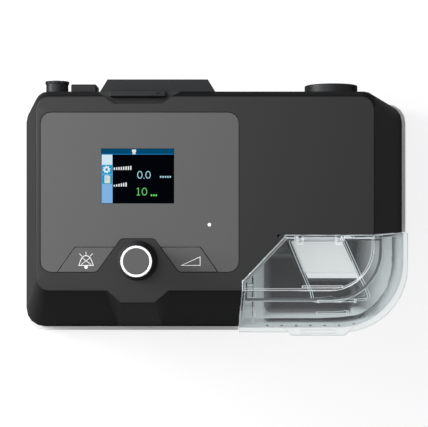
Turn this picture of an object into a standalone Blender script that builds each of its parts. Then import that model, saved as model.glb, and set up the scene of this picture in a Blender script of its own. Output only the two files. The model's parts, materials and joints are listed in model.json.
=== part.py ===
"""Bedside breathing machine with a built-in humidifier, lying flat with its control panel facing up.

The front is at -Y, the rear connectors are at +Y, and the clear water tank fills the front right corner.
The origin is the middle of the footprint, on the surface that the feet stand on.
"""

import math

import bmesh
import bpy
from mathutils import Matrix, Vector

MM = 0.001

# Clearances that every fit is worked out from
SEAT_GAP = 0.3 * MM
SLIDE_GAP = 0.6 * MM
PIN_GAP = 0.2 * MM
PRESS_RESERVE = 0.3 * MM
CUT_OVERRUN = 2 * MM
WELD_DISTANCE = 0.002 * MM

# Casing: a box that flares to its base on the left, the right and the front
CASE_WIDTH = 287 * MM
CASE_DEPTH = 169.8 * MM
CASE_TOP = 112 * MM
CASE_SPLIT = 12 * MM
LEFT_FLARE = 22.5 * MM
RIGHT_FLARE = 34.8 * MM
FRONT_FLARE = 33.7 * MM
REAR_BEVEL_REACH = 4.2 * MM
REAR_BEVEL_DROP = 8 * MM
TOP_EDGE_ROUND = 0.9 * MM
CASE_WALL = 3 * MM
BASE_CORNER_SMALL = 14 * MM
BASE_CORNER_TANK = 50 * MM
TOP_CORNER_SMALL = 8.5 * MM
TOP_CORNER_TANK = 30 * MM
SMALL_CORNER_STEPS = 4
TANK_CORNER_STEPS = 10

# The pointed nose below the knob, drawn out of the front slope
CONTROL_AXIS_INSET = 69.1 * MM
NOSE_ROOT_HALF = 21.4 * MM
NOSE_TIP_HALF = 11.9 * MM
NOSE_REACH = 8.2 * MM

# Base tray and feet
FOOT_HEIGHT = 2.2 * MM
FOOT_RADIUS = 7 * MM
FOOT_INSET = 22 * MM
TANK_FOOT_INSET = 34 * MM
TRAY_BOTTOM = FOOT_HEIGHT + SEAT_GAP
TRAY_LIP = 2.8 * MM
TRAY_FLOOR = 2.5 * MM
TRAY_WALL = 2.1 * MM
TRAY_EDGE_ROUND = 1.2 * MM

# Rear finger notch over the control axis
NOTCH_ROOT_HALF = 23.2 * MM
NOTCH_FLOOR_HALF = 16.2 * MM
NOTCH_REACH = 5.1 * MM
NOTCH_DEPTH = 9 * MM
NOTCH_WALL = 2.4 * MM

# Plug-in wireless module: its head lies over the notch, its card hangs in a slot behind it
MODULE_HEAD_HALF = 19 * MM
MODULE_HEAD_THICK = 4.1 * MM
MODULE_HEAD_HEIGHT = 8.5 * MM
MODULE_CARD_HALF = 16 * MM
MODULE_CARD_THICK = 2.2 * MM
MODULE_CARD_LENGTH = 8 * MM
MODULE_WINDOW_SIZE = 2.6 * MM
MODULE_WINDOW_DEPTH = 0.8 * MM
MODULE_WINDOW_OFFSET = 14 * MM
MODULE_EDGE = 0.6 * MM

# Control panel
PANEL_WIDTH = 134.3 * MM
PANEL_DEPTH = 108.1 * MM
PANEL_THICK = 1.8 * MM
PANEL_LEFT_MARGIN = 3.3 * MM
PANEL_REAR_MARGIN = 10.9 * MM
PANEL_CORNER = 7 * MM
PANEL_SEAM = 0.45 * MM
BUTTON_SHELF = 0.1 * MM
PANEL_LEDGE = 3 * MM
SURROUND_HEIGHT = 22.8 * MM
SURROUND_TOP_HALF = 11.4 * MM
SURROUND_ROOT_HALF = 27.9 * MM
SURROUND_CORNER = 3.5 * MM
OUTLINE_STEPS = 4

# Push buttons each side of the knob surround
BUTTON_HEIGHT = 16.6 * MM
BUTTON_ROOT_HALF = 54.1 * MM
BUTTON_TOP_HALF = 42.6 * MM
BUTTON_CORNER = 2.2 * MM
BUTTON_TRAVEL = 0.8 * MM
BUTTON_STEM_RADIUS = 2.4 * MM
BUTTON_STEM_OFFSET = 36 * MM

# Display
DISPLAY_WIDTH = 48.96 * MM
DISPLAY_DEPTH = 36.72 * MM
DISPLAY_REAR_MARGIN = 24.7 * MM
DISPLAY_FRAME = 3 * MM
DISPLAY_LEG_WALL = 2 * MM

# Status light
LIGHT_RADIUS = 1.25 * MM
LIGHT_OFFSET = 48.7 * MM
LIGHT_FROM_PANEL_FRONT = 32 * MM

# Control board with its switches and the rotary encoder
BOARD_THICK = 1.6 * MM
BOARD_DROP = 10.4 * MM
BOARD_HALF_WIDTH = 55 * MM
BOARD_REAR_MARGIN = 16 * MM
BOARD_FRONT_MARGIN = 2 * MM
SWITCH_SIDE = 6.2 * MM
SWITCH_HEIGHT = 3.6 * MM
ENCODER_SIDE = 12 * MM
ENCODER_HEIGHT = 5.6 * MM
ENCODER_SHAFT_RADIUS = 3 * MM
BUSHING_WALL = 0.9 * MM

# Knob
KNOB_SKIRT_RADIUS = 13.6 * MM
KNOB_TOP_RADIUS = 11.3 * MM
KNOB_HEIGHT = 13.7 * MM
KNOB_TRAVEL = 1 * MM
KNOB_FROM_PANEL_FRONT = 7.7 * MM
KNOB_EDGE = 0.8 * MM
KNOB_WALL = 2 * MM
KNOB_HUB_RADIUS = 5.5 * MM
RING_OUTER_RADIUS = 10.5 * MM
RING_WIDTH = 1.6 * MM
RING_DEPTH = 1.5 * MM
CAP_THICK = 1.5 * MM
KNOB_STEPS = 28

# Tank dock: the bay in the casing, its liner and the heater
BAY_LEFT_FROM_AXIS = 70.4 * MM
BAY_REAR_FROM_TOP_REAR = 93.7 * MM
BAY_DIAGONAL_WIDTH = 30 * MM
BAY_DIAGONAL_DEPTH = 31.5 * MM
LINER_WALL = 2.4 * MM
DOCK_FLOOR_THICK = 2.4 * MM
HEATER_WIDTH = 66 * MM
HEATER_DEPTH = 40 * MM
HEATER_THICK = 2.1 * MM
HEATER_CORNER = 6 * MM
HEATER_FROM_BAY_LEFT = 54 * MM
HEATER_FROM_BAY_REAR = 38 * MM
PAD_MARGIN = 3 * MM

# Water tank
TANK_WALL = 2.2 * MM
TANK_PARTING = 84 * MM
LID_EDGE = 1.4 * MM
SEAL_WIDTH = 1.6 * MM
SEAL_HEIGHT = 3.2 * MM
TANK_PLATE_MARGIN = 1.5 * MM
TANK_PLATE_THICK = 1 * MM
LIP_ROOT_HALF = 27.8 * MM
LIP_TIP_HALF = 20.6 * MM
LIP_REACH = 4 * MM
LIP_THICK = 3.4 * MM
LIP_FROM_BAY_LEFT = 60.8 * MM
LIP_SLOT_HALF = 13.1 * MM
LIP_SLOT_DEPTH = 1.4 * MM
LIP_SLOT_FRONT = 1.6 * MM
LIP_SLOT_REAR = 4.2 * MM
FLANGE_THICK = 2 * MM
FLANGE_REACH = 4.3 * MM
SKIRT_REACH = 1.6 * MM
SKIRT_TOP = 36 * MM
LEVEL_BAR_HEIGHT = 1.3 * MM
LEVEL_BAR_PROUD = 0.9 * MM
LEVEL_LEG_DROP = 2.2 * MM
LOW_BAR_HALF = 10.5 * MM
LOW_BAR_LEVEL = 55 * MM
HIGH_BAR_HALF = 12.3 * MM
HIGH_BAR_LEVEL = 87 * MM
TOP_BAR_HALF = 13.9 * MM
TOP_BAR_DEPTH = 1.3 * MM
TOP_BAR_FROM_EDGE = 2.2 * MM
TOP_BAR_PROUD = 0.6 * MM
BAR_FROM_BAY_LEFT = 55 * MM
BAFFLE_FROM_BAY_LEFT = 10 * MM
BAFFLE_THICK = 1.4 * MM
BAFFLE_TOP = 60 * MM
BAFFLE_LENGTH = 30 * MM
BAFFLE_RIB_COUNT = 3

# Lid hinge
HINGE_PIN_RADIUS = 1.2 * MM
HINGE_FROM_REAR = 2.3 * MM
HINGE_FROM_TOP = 2.3 * MM
HINGE_EAR_WIDTH = 3 * MM
HINGE_KNUCKLE_RADIUS = 2.1 * MM
HINGE_SPAN = 29.4 * MM
HINGE_FROM_BAY_LEFT = 38.4 * MM
HINGE_SIDE_GAP = 0.5 * MM
HINGE_EAR_DEPTH = 4.4 * MM
HINGE_EAR_SETBACK = 0.1 * MM
HINGE_CLEAR_DEPTH = 6.2 * MM
SWING_CLEAR_REACH = 5.7 * MM
SWING_CLEAR_FALL = 1 * MM

# Air guide and deflector in the tank
GUIDE_REAR_LEFT_FROM_BAY_LEFT = 33 * MM
GUIDE_REAR_WIDTH = 41 * MM
GUIDE_FRONT_WIDTH = 44.4 * MM
GUIDE_SLANT = 22.2 * MM
GUIDE_LENGTH = 47.5 * MM
GUIDE_TOP_LEVEL = 78 * MM
GUIDE_FALL = 44 * MM
GUIDE_WALL = 2 * MM
GUIDE_CORNER = 3 * MM
DEFLECTOR_LENGTH = 37 * MM
DEFLECTOR_THICK = 1.6 * MM
DEFLECTOR_DROP = 2 * MM

# Air ports between the dock and the tank lid
PORT_RADIUS = 7 * MM
PORT_FROM_TOP = 19.5 * MM
PORT_SEAL_WALL = 1.8 * MM
INLET_PORT_FROM_BAY_LEFT = 52 * MM
OUTLET_PORT_FROM_BAY_LEFT = 84 * MM

# Ducts
DUCT_RADIUS = 9 * MM
DUCT_WALL = 1.8 * MM
DUCT_SIDES = 3
DUCT_LEAD = 3 * MM
DUCT_STEPS = 7
DUCT_PULL_SHARE = 0.55
OUTLET_PULL_SHARE = 0.45

# Hose outlet on the rear wall
OUTLET_FROM_AXIS = 136.4 * MM
REAR_PORT_LEVEL = 60 * MM
COLLAR_RADIUS = 19.1 * MM
COLLAR_WALL = 2.1 * MM
COLLAR_LENGTH = 8.2 * MM
COLLAR_FLOOR = 1.5 * MM
HOSE_PORT_RADIUS = 11 * MM
HOSE_PORT_WALL = 2.4 * MM
HOSE_PORT_INSIDE = 20 * MM
HOSE_PORT_TAPER = 0.5 * MM
COLLAR_EDGE = 0.5 * MM

# Power inlet on the rear wall
POWER_FROM_PLUG = 4.25 * MM
POWER_RADIUS = 8.65 * MM
POWER_LENGTH = 11.6 * MM
POWER_RIM = 2 * MM
POWER_WAIST = 0.6 * MM
POWER_NOTCH_WIDTH = 2.2 * MM
POWER_NOTCH_OFFSET = 4 * MM
POWER_SHANK_RADIUS = 6.5 * MM
POWER_SHANK_LENGTH = 8 * MM
JACK_RADIUS = 4.8 * MM
JACK_BORE = 3.3 * MM
JACK_RECESS = 2 * MM
JACK_TAIL = 4 * MM
JACK_FLOOR = 1 * MM
JACK_PIN_RADIUS = 1 * MM
ROUND_STEPS = 22
FINE_STEPS = 12

# Data port plug on the rear wall
PLUG_FROM_COVER = 4.05 * MM
PLUG_WIDTH = 17.8 * MM
PLUG_HEIGHT = 20 * MM
PLUG_THICK = 6.8 * MM
PLUG_TOP_LEVEL = 85 * MM
PLUG_TONGUE_MARGIN = 3 * MM
PLUG_TONGUE_LENGTH = 10 * MM
PLUG_EDGE = 0.8 * MM

# Air inlet on the rear wall: hinged filter cover, filter, plenum
COVER_WIDTH = 79.5 * MM
COVER_END_BEVEL = 5.2 * MM
COVER_THICK = 8.5 * MM
COVER_TOP_LEVEL = 100 * MM
COVER_HEIGHT = 66 * MM
COVER_WALL = 2 * MM
COVER_FROM_AXIS = 13 * MM
COVER_PIN_RADIUS = 1 * MM
COVER_KNUCKLE_RADIUS = 2 * MM
COVER_PIN_FROM_WALL = 2.7 * MM
COVER_LUG_WIDTH = 4 * MM
COVER_LUG_HALF = 1.6 * MM
COVER_LUG_INSET = 12 * MM
LOUVRE_COUNT = 9
LOUVRE_GAP = 2.2 * MM
LOUVRE_PITCH = 5.2 * MM
LOUVRE_MARGIN = 8 * MM
WINDOW_MARGIN = 9 * MM
FILTER_THICK = 6 * MM
PLENUM_DEPTH = 10 * MM
PLENUM_WALL = 1.6 * MM

# Blower
BLOWER_FROM_AXIS = 5 * MM
BLOWER_FROM_REAR = 68 * MM
BLOWER_RADIUS = 38 * MM
BLOWER_WALL = 2.5 * MM
BLOWER_BOTTOM = 14 * MM
BLOWER_LOWER_HEIGHT = 28 * MM
BLOWER_UPPER_HEIGHT = 13 * MM
BLOWER_INLET_RADIUS = 13 * MM
BLOWER_OUTLET_OFFSET = 25 * MM
BLOWER_OUTLET_LEVEL = 16 * MM
BLOWER_OUTLET_REACH = 50 * MM
MOTOR_RADIUS = 15 * MM
MOTOR_HEIGHT = 12 * MM
SHAFT_RADIUS = 2 * MM
SHAFT_LENGTH = 22 * MM
SHAFT_FOOT = 2 * MM
IMPELLER_RADIUS = 28 * MM
IMPELLER_DISC = 1.6 * MM
IMPELLER_HUB_RADIUS = 6 * MM
IMPELLER_HEIGHT = 9 * MM
BLADE_COUNT = 9
BLADE_THICK = 1.4 * MM
BLADE_SWEEP = math.radians(55)
BLADE_STEPS = 4
MOUNT_COUNT = 3
MOUNT_RADIUS = 5 * MM
MOUNT_CIRCLE = 26 * MM

# Main board behind the dock
MAIN_BOARD_LEFT_FROM_AXIS = 75 * MM
MAIN_BOARD_WIDTH = 105 * MM
MAIN_BOARD_DEPTH = 70 * MM
MAIN_BOARD_FROM_REAR = 8 * MM
POST_HEIGHT = 4 * MM
POST_RADIUS = 3 * MM
POST_INSET = 6 * MM
COMPONENT_RADIUS = 6 * MM
COMPONENT_HEIGHT = 14 * MM
COMPONENT_SHARES = ((0.2, 0.25, 1, 1), (0.35, 0.6, 0.8, 0.8), (0.6, 0.3, 0.7, 0.6), (0.75, 0.7, 1, 0.7))

# Case screws and the bosses they bite into
BOSS_RADIUS = 6.5 * MM
BOSS_HEIGHT = 22 * MM
BOSS_SIDE_INSET = 10.3 * MM
BOSS_END_INSET = 9 * MM
SCREW_HEAD_RADIUS = 3 * MM
SCREW_HEAD_HEIGHT = 1.6 * MM
SCREW_SHANK_RADIUS = 1.5 * MM
SCREW_LENGTH = 18 * MM
SCREW_RECESS = 0.6 * MM
SCREW_PAD_RADIUS = 5 * MM

# Places that follow from the sizes above
BASE_LEFT = -(CASE_WIDTH + TRAY_LIP) / 2
BASE_RIGHT = BASE_LEFT + CASE_WIDTH
BASE_REAR = (CASE_DEPTH + TRAY_LIP + LIP_REACH - POWER_LENGTH) / 2
BASE_FRONT = BASE_REAR - CASE_DEPTH
TOP_LEFT = BASE_LEFT + LEFT_FLARE
TOP_RIGHT = BASE_RIGHT - RIGHT_FLARE
TOP_FRONT = BASE_FRONT + FRONT_FLARE
TOP_REAR = BASE_REAR - REAR_BEVEL_REACH
AXIS_X = TOP_LEFT + CONTROL_AXIS_INSET
INNER_TOP = CASE_TOP - CASE_WALL
WALL_REAR = BASE_REAR + SEAT_GAP

PANEL_LEFT = TOP_LEFT + PANEL_LEFT_MARGIN
PANEL_RIGHT = PANEL_LEFT + PANEL_WIDTH
PANEL_REAR = TOP_REAR - PANEL_REAR_MARGIN
PANEL_FRONT = PANEL_REAR - PANEL_DEPTH
PANEL_UNDER = CASE_TOP - PANEL_THICK
KNOB_Y = PANEL_FRONT + KNOB_FROM_PANEL_FRONT
BOARD_TOP = PANEL_UNDER - BOARD_DROP
SURROUND_SLOPE = (SURROUND_ROOT_HALF - SURROUND_TOP_HALF) / SURROUND_HEIGHT
BUTTON_SLOPE = (BUTTON_ROOT_HALF - BUTTON_TOP_HALF) / BUTTON_HEIGHT

BAY_LEFT = AXIS_X + BAY_LEFT_FROM_AXIS
BAY_REAR = TOP_REAR - BAY_REAR_FROM_TOP_REAR
DOCK_FLOOR = CASE_SPLIT
TANK_FLOOR = DOCK_FLOOR + SEAT_GAP
TANK_REAR = BAY_REAR - SLIDE_GAP
HINGE_Y = TANK_REAR - HINGE_FROM_REAR
HINGE_Z = CASE_TOP - HINGE_FROM_TOP
HINGE_LEFT = BAY_LEFT + HINGE_FROM_BAY_LEFT
PORT_Z = CASE_TOP - PORT_FROM_TOP
INLET_PORT_X = BAY_LEFT + INLET_PORT_FROM_BAY_LEFT
OUTLET_PORT_X = BAY_LEFT + OUTLET_PORT_FROM_BAY_LEFT
SEAL_OUTER = PORT_RADIUS + PORT_SEAL_WALL
HEATER_X = BAY_LEFT + HEATER_FROM_BAY_LEFT
HEATER_Y = BAY_REAR - HEATER_FROM_BAY_REAR
TRAY_TOP_FLOOR = TRAY_BOTTOM + TRAY_FLOOR
SCREW_FOOT = TRAY_BOTTOM + SCREW_RECESS

NOTCH_FLOOR = CASE_TOP - NOTCH_DEPTH
MODULE_FRONT = BASE_REAR - MODULE_HEAD_THICK
DISPLAY_X = AXIS_X
DISPLAY_REAR = PANEL_REAR - DISPLAY_REAR_MARGIN
LIGHT_Y = PANEL_FRONT + LIGHT_FROM_PANEL_FRONT
KNOB_BOTTOM = CASE_TOP + KNOB_TRAVEL + PRESS_RESERVE
ENCODER_TOP = BOARD_TOP + SEAT_GAP + ENCODER_HEIGHT
PLUNGER_TOP = ENCODER_TOP - ENCODER_HEIGHT / 2
SHAFT_TOP = KNOB_BOTTOM + KNOB_HEIGHT - RING_DEPTH - KNOB_WALL * 2
BUSHING_OUTER = ENCODER_SHAFT_RADIUS + PIN_GAP + BUSHING_WALL

OUTLET_X = AXIS_X + OUTLET_FROM_AXIS
COVER_X = AXIS_X + COVER_FROM_AXIS
PLUG_X = COVER_X - COVER_WIDTH / 2 - PLUG_FROM_COVER - PLUG_WIDTH / 2
POWER_X = PLUG_X - PLUG_WIDTH / 2 - POWER_FROM_PLUG - POWER_RADIUS
COVER_BOTTOM = COVER_TOP_LEVEL - COVER_HEIGHT
COVER_PIN_Y = WALL_REAR + COVER_PIN_FROM_WALL
COVER_PIN_Z = COVER_BOTTOM + COVER_PIN_FROM_WALL
BLOWER_X = AXIS_X + BLOWER_FROM_AXIS
BLOWER_Y = BASE_REAR - BLOWER_FROM_REAR
BLOWER_TOP = BLOWER_BOTTOM + BLOWER_LOWER_HEIGHT + BLOWER_UPPER_HEIGHT
DUCT_START_LEVEL = BLOWER_BOTTOM + BLOWER_OUTLET_LEVEL

cutters = None
solids = None


def clear_scene():
    """Removes what the start-up scene holds."""
    for old in list(bpy.data.objects):
        bpy.data.objects.remove(old, do_unlink=True)


def new_collection(name):
    made = bpy.data.collections.new(name)
    bpy.context.scene.collection.children.link(made)
    return made


def finish_material(name, colour, roughness, metallic=0.0, alpha=1.0):
    made = bpy.data.materials.new(name)
    made.use_nodes = True
    shader = made.node_tree.nodes["Principled BSDF"]
    shader.inputs["Base Color"].default_value = (*colour, 1.0)
    shader.inputs["Roughness"].default_value = roughness
    shader.inputs["Metallic"].default_value = metallic
    shader.inputs["Alpha"].default_value = alpha
    return made


def into(obj, collection):
    """Moves an object to one collection and leaves it in no other."""
    for old in list(obj.users_collection):
        old.objects.unlink(obj)
    collection.objects.link(obj)
    return obj


def part(obj, material):
    """Makes an object one of the machine's own pieces."""
    into(obj, solids)
    obj.data.materials.clear()
    obj.data.materials.append(material)
    return obj


def tool(obj):
    """Makes an object a cutter or a shape to join, which isn't a piece itself."""
    into(obj, cutters)
    obj.hide_render = True
    obj.display_type = "WIRE"
    return obj


def combine(obj, other, operation):
    made = obj.modifiers.new(operation.title(), "BOOLEAN")
    made.operation = operation
    made.solver = "EXACT"
    made.object = tool(other)
    return obj


def cut(obj, *others):
    for other in others:
        combine(obj, other, "DIFFERENCE")
    return obj


def join(obj, *others):
    for other in others:
        combine(obj, other, "UNION")
    return obj


def keep_inside(obj, other):
    return combine(obj, other, "INTERSECT")


def round_edges(obj, width, segments=2):
    made = obj.modifiers.new("Bevel", "BEVEL")
    made.width = width
    made.segments = segments
    made.limit_method = "ANGLE"
    return obj


def box(name, low, high):
    """A block between two corners."""
    low = Vector(low)
    high = Vector(high)
    bpy.ops.mesh.primitive_cube_add(size=1, location=(low + high) / 2)
    made = bpy.context.object
    made.name = name
    made.data.transform(Matrix.Diagonal((*(high - low), 1)))
    return made


def cylinder(name, radius, centre, length, axis="Z", steps=ROUND_STEPS):
    """A round bar about its centre point, along one axis."""
    turns = {"X": (0, math.pi / 2, 0), "Y": (-math.pi / 2, 0, 0), "Z": (0, 0, 0)}
    bpy.ops.mesh.primitive_cylinder_add(
        vertices=steps, radius=radius, depth=length, location=centre, rotation=turns[axis]
    )
    made = bpy.context.object
    made.name = name
    made.data.shade_smooth()
    made.data.set_sharp_from_angle(angle=math.radians(40))
    return made


def mesh_object(name, mesh_maker):
    """An object from a function that fills a bmesh."""
    made = bmesh.new()
    mesh_maker(made)
    mesh = bpy.data.meshes.new(name)
    made.to_mesh(mesh)
    made.free()
    obj = bpy.data.objects.new(name, mesh)
    solids.objects.link(obj)
    return obj


def turned(name, profile, centre, axis="Z", steps=ROUND_STEPS, closed=True):
    """A turned piece: the profile holds (radius, height) points, down the outer side and up the inner one."""

    def fill(made):
        points = [made.verts.new((radius, 0, height)) for radius, height in profile]
        for first, second in zip(points, points[1:]):
            made.edges.new((first, second))
        if closed:
            made.edges.new((points[-1], points[0]))

    obj = mesh_object(name, fill)
    screw = obj.modifiers.new("Screw", "SCREW")
    screw.steps = steps
    screw.render_steps = steps
    screw.use_merge_vertices = True
    screw.merge_threshold = WELD_DISTANCE
    obj.location = centre
    if axis == "Y":
        obj.rotation_euler = (-math.pi / 2, 0, 0)
    obj.data.shade_smooth()
    return obj


def plate(name, outline, low, high):
    """A flat outline given thickness from one height to another, as a mesh that can be cut."""
    curve = bpy.data.curves.new(name, "CURVE")
    curve.dimensions = "2D"
    curve.fill_mode = "BOTH"
    curve.extrude = (high - low) / 2
    spline = curve.splines.new("POLY")
    spline.points.add(len(outline) - 1)
    for point, (x, y) in zip(spline.points, outline):
        point.co = (x, y, 0, 1)
    spline.use_cyclic_u = True
    return meshed(curve, Matrix.Translation((0, 0, (low + high) / 2)), name)


def meshed(curve, place, name):
    """The welded mesh of a curve, which a Boolean can take."""
    drawn = bpy.data.objects.new(name + "_line", curve)
    solids.objects.link(drawn)
    bpy.context.view_layer.update()
    mesh = bpy.data.meshes.new_from_object(drawn.evaluated_get(bpy.context.evaluated_depsgraph_get()))
    bpy.data.objects.remove(drawn)
    welded = bmesh.new()
    welded.from_mesh(mesh)
    bmesh.ops.remove_doubles(welded, verts=welded.verts, dist=WELD_DISTANCE)
    welded.to_mesh(mesh)
    welded.free()
    obj = bpy.data.objects.new(name, mesh)
    solids.objects.link(obj)
    obj.matrix_world = place
    return obj


def arc(centre, radius, start, end, steps):
    """Points on a round corner, both ends included."""
    turn = (end - start) / steps
    return [
        (centre[0] + radius * math.cos(start + turn * i), centre[1] + radius * math.sin(start + turn * i))
        for i in range(steps + 1)
    ]


def rounded(corners, radii, steps=OUTLINE_STEPS):
    """An anticlockwise outline whose corners are rounded, each by its own radius. A zero stays sharp."""
    outline = []
    count = len(corners)
    for i, (corner, radius) in enumerate(zip(corners, radii)):
        here = Vector(corner)
        if radius == 0:
            outline.append(tuple(here))
            continue
        back = (Vector(corners[i - 1]) - here).normalized()
        ahead = (Vector(corners[(i + 1) % count]) - here).normalized()
        half_angle = back.angle(ahead) / 2
        reach = radius / math.tan(half_angle)
        centre = here + (back + ahead).normalized() * (radius / math.sin(half_angle))
        first = here + back * reach - centre
        sweep = math.pi - 2 * half_angle
        side = 1 if back.cross(ahead) < 0 else -1
        for k in range(steps + 1):
            turned_arm = Matrix.Rotation(side * sweep * k / steps, 2) @ first
            outline.append(tuple(centre + turned_arm))
    return outline


def offset(outline, distance):
    """The outline moved outwards by a distance, or inwards if it is negative."""
    moved = []
    count = len(outline)
    for i, here in enumerate(outline):
        before = Vector(outline[i - 1])
        after = Vector(outline[(i + 1) % count])
        here = Vector(here)
        first = (here - before).normalized()
        second = (after - here).normalized()
        normal_first = Vector((first.y, -first.x))
        normal_second = Vector((second.y, -second.x))
        middle = normal_first + normal_second
        moved.append(tuple(here + middle * (2 * distance / middle.length_squared)))
    return moved


def case_limits(z, inset):
    """Left, right, front and rear of the casing at a height, moved in by an inset."""
    share = (CASE_TOP - z) / (CASE_TOP - CASE_SPLIT)
    bevel = max(0, z - (CASE_TOP - REAR_BEVEL_DROP)) / REAR_BEVEL_DROP
    return (
        TOP_LEFT - LEFT_FLARE * share + inset,
        TOP_RIGHT + RIGHT_FLARE * share - inset,
        TOP_FRONT - FRONT_FLARE * share + inset,
        BASE_REAR - REAR_BEVEL_REACH * bevel - inset,
        share,
    )


def case_ring(z, inset=0):
    """The casing's outline at a height, with the same number of points at every height."""
    left, right, front, rear, share = case_limits(z, inset)
    small = TOP_CORNER_SMALL + (BASE_CORNER_SMALL - TOP_CORNER_SMALL) * share - inset
    tank = TOP_CORNER_TANK + (BASE_CORNER_TANK - TOP_CORNER_TANK) * share - inset
    reach = NOSE_REACH * (1 - share)
    quarter = math.pi / 2
    ring = arc((left + small, front + small), small, -2 * quarter, -quarter, SMALL_CORNER_STEPS)
    ring += [
        (AXIS_X - NOSE_ROOT_HALF + inset, front),
        (AXIS_X - NOSE_TIP_HALF + inset, front - reach),
        (AXIS_X + NOSE_TIP_HALF - inset, front - reach),
        (AXIS_X + NOSE_ROOT_HALF - inset, front),
    ]
    ring += arc((right - tank, front + tank), tank, -quarter, 0, TANK_CORNER_STEPS)
    ring += arc((right - small, rear - small), small, 0, quarter, SMALL_CORNER_STEPS)
    ring += arc((left + small, rear - small), small, quarter, 2 * quarter, SMALL_CORNER_STEPS)
    return [(x, y, z) for x, y in ring]


def loft(name, rings):
    """A skin through rings that hold the same number of points, closed at both ends."""

    def fill(made):
        loops = [[made.verts.new(point) for point in ring] for ring in rings]
        count = len(rings[0])
        for lower, upper in zip(loops, loops[1:]):
            for i in range(count):
                after = (i + 1) % count
                made.faces.new((lower[i], lower[after], upper[after], upper[i]))
        made.faces.new(loops[-1])
        made.faces.new(reversed(loops[0]))

    return mesh_object(name, fill)


def case_rings(low, high, inset=0):
    """Rings of the casing between two heights, rounded over at the top edge."""
    levels = [low]
    bevel_start = CASE_TOP - REAR_BEVEL_DROP
    if low < bevel_start < high:
        levels.append(bevel_start)
    rings = [case_ring(z, inset) for z in levels]
    if high < CASE_TOP:
        return rings + [case_ring(high, inset)]
    for turn in (0, math.pi / 4, math.pi / 2):
        z = CASE_TOP - TOP_EDGE_ROUND * (1 - math.sin(turn))
        rings.append(case_ring(z, inset + TOP_EDGE_ROUND * (1 - math.cos(turn))))
    return rings


def case_block(name, low, high, inset=0):
    """The casing as a solid block, to trim other pieces to its outer form."""
    return loft(name, case_rings(low, high, inset))


def panel_field():
    """The gray field: panel and buttons together, with the knob surround left out."""
    corners = [
        (PANEL_LEFT, PANEL_FRONT),
        (AXIS_X - SURROUND_ROOT_HALF, PANEL_FRONT),
        (AXIS_X - SURROUND_TOP_HALF, PANEL_FRONT + SURROUND_HEIGHT),
        (AXIS_X + SURROUND_TOP_HALF, PANEL_FRONT + SURROUND_HEIGHT),
        (AXIS_X + SURROUND_ROOT_HALF, PANEL_FRONT),
        (PANEL_RIGHT, PANEL_FRONT),
        (PANEL_RIGHT, PANEL_REAR),
        (PANEL_LEFT, PANEL_REAR),
    ]
    radii = [PANEL_CORNER, SURROUND_CORNER, SURROUND_CORNER, SURROUND_CORNER, SURROUND_CORNER]
    return rounded(corners, radii + [PANEL_CORNER] * 3)


def button_outline(side, grow=0):
    """One button's outline, left (-1) or right (1) of the knob, with its edges moved out by grow."""
    rear = PANEL_FRONT + BUTTON_HEIGHT + grow
    front = PANEL_FRONT - grow
    lean_in = grow * math.hypot(1, SURROUND_SLOPE)
    lean_out = grow * math.hypot(1, BUTTON_SLOPE)
    inner_front = SURROUND_ROOT_HALF + SURROUND_SLOPE * grow - lean_in
    inner_rear = SURROUND_ROOT_HALF - SURROUND_SLOPE * (BUTTON_HEIGHT + grow) - lean_in
    outer_front = BUTTON_ROOT_HALF + BUTTON_SLOPE * grow + lean_out
    outer_rear = BUTTON_TOP_HALF - BUTTON_SLOPE * grow + lean_out
    corners = [(inner_front, front), (outer_front, front), (outer_rear, rear), (inner_rear, rear)]
    radii = [SURROUND_CORNER, 0, BUTTON_CORNER, 0]
    if side < 0:
        corners = [(-x, y) for x, y in reversed(corners)]
        radii = radii[::-1]
    return rounded([(AXIS_X + x, y) for x, y in corners], radii)


def bay_outline(clear):
    """The tank bay in plan, open past the front and the right of the casing, moved in by a clearance."""
    reach = CASE_DEPTH
    corners = [
        (BAY_LEFT, BASE_FRONT - reach),
        (BASE_RIGHT + reach, BASE_FRONT - reach),
        (BASE_RIGHT + reach, BAY_REAR),
        (BAY_LEFT + BAY_DIAGONAL_WIDTH, BAY_REAR),
        (BAY_LEFT, BAY_REAR - BAY_DIAGONAL_DEPTH),
    ]
    return offset(corners, -clear)


def bay_block(name, low, high, clear=0):
    return plate(name, bay_outline(clear), low, high)


def plan_box(name, centre, size, low, high, corner):
    """An upright block with rounded corners about a point in plan."""
    half_x = size[0] / 2
    half_y = size[1] / 2
    x, y = centre
    left, right, front, rear = x - half_x, x + half_x, y - half_y, y + half_y
    corners = [(left, front), (right, front), (right, rear), (left, rear)]
    return plate(name, rounded(corners, [corner] * len(corners)), low, high)


def make_top_shell(material):
    """Upper casing: hollow and open below, cut for the panel, the tank bay and the rear connectors."""
    shell = part(case_block("top_shell", CASE_SPLIT, CASE_TOP), material)
    cut(shell, case_block("shell_hollow", CASE_SPLIT - CUT_OVERRUN, INNER_TOP, CASE_WALL))
    join(shell, module_pocket(), *case_bosses())
    cut(shell, bay_block("shell_bay", 0, CASE_TOP + CUT_OVERRUN), swing_relief())
    cut(shell, *panel_cutters(), finger_notch(), module_slot())
    cut(shell, *rear_cutters(), *boss_holes())
    join(shell, *cover_lugs())
    cut(shell, cover_pin_bar("lug_bore", COVER_PIN_RADIUS + PIN_GAP, CUT_OVERRUN))
    return shell


def swing_relief():
    """The bay's rear edge carried on past the diagonal, where the lid's corner swings up beside its hinge."""
    right = BAY_LEFT + BAY_DIAGONAL_WIDTH + CUT_OVERRUN
    left = BAY_LEFT + BAY_DIAGONAL_WIDTH - SWING_CLEAR_REACH
    front = BAY_REAR - BAY_DIAGONAL_DEPTH / 2
    low = INNER_TOP - SWING_CLEAR_FALL
    return box("swing_relief", (left, front, low), (right, BAY_REAR, CASE_TOP + CUT_OVERRUN))


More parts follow.
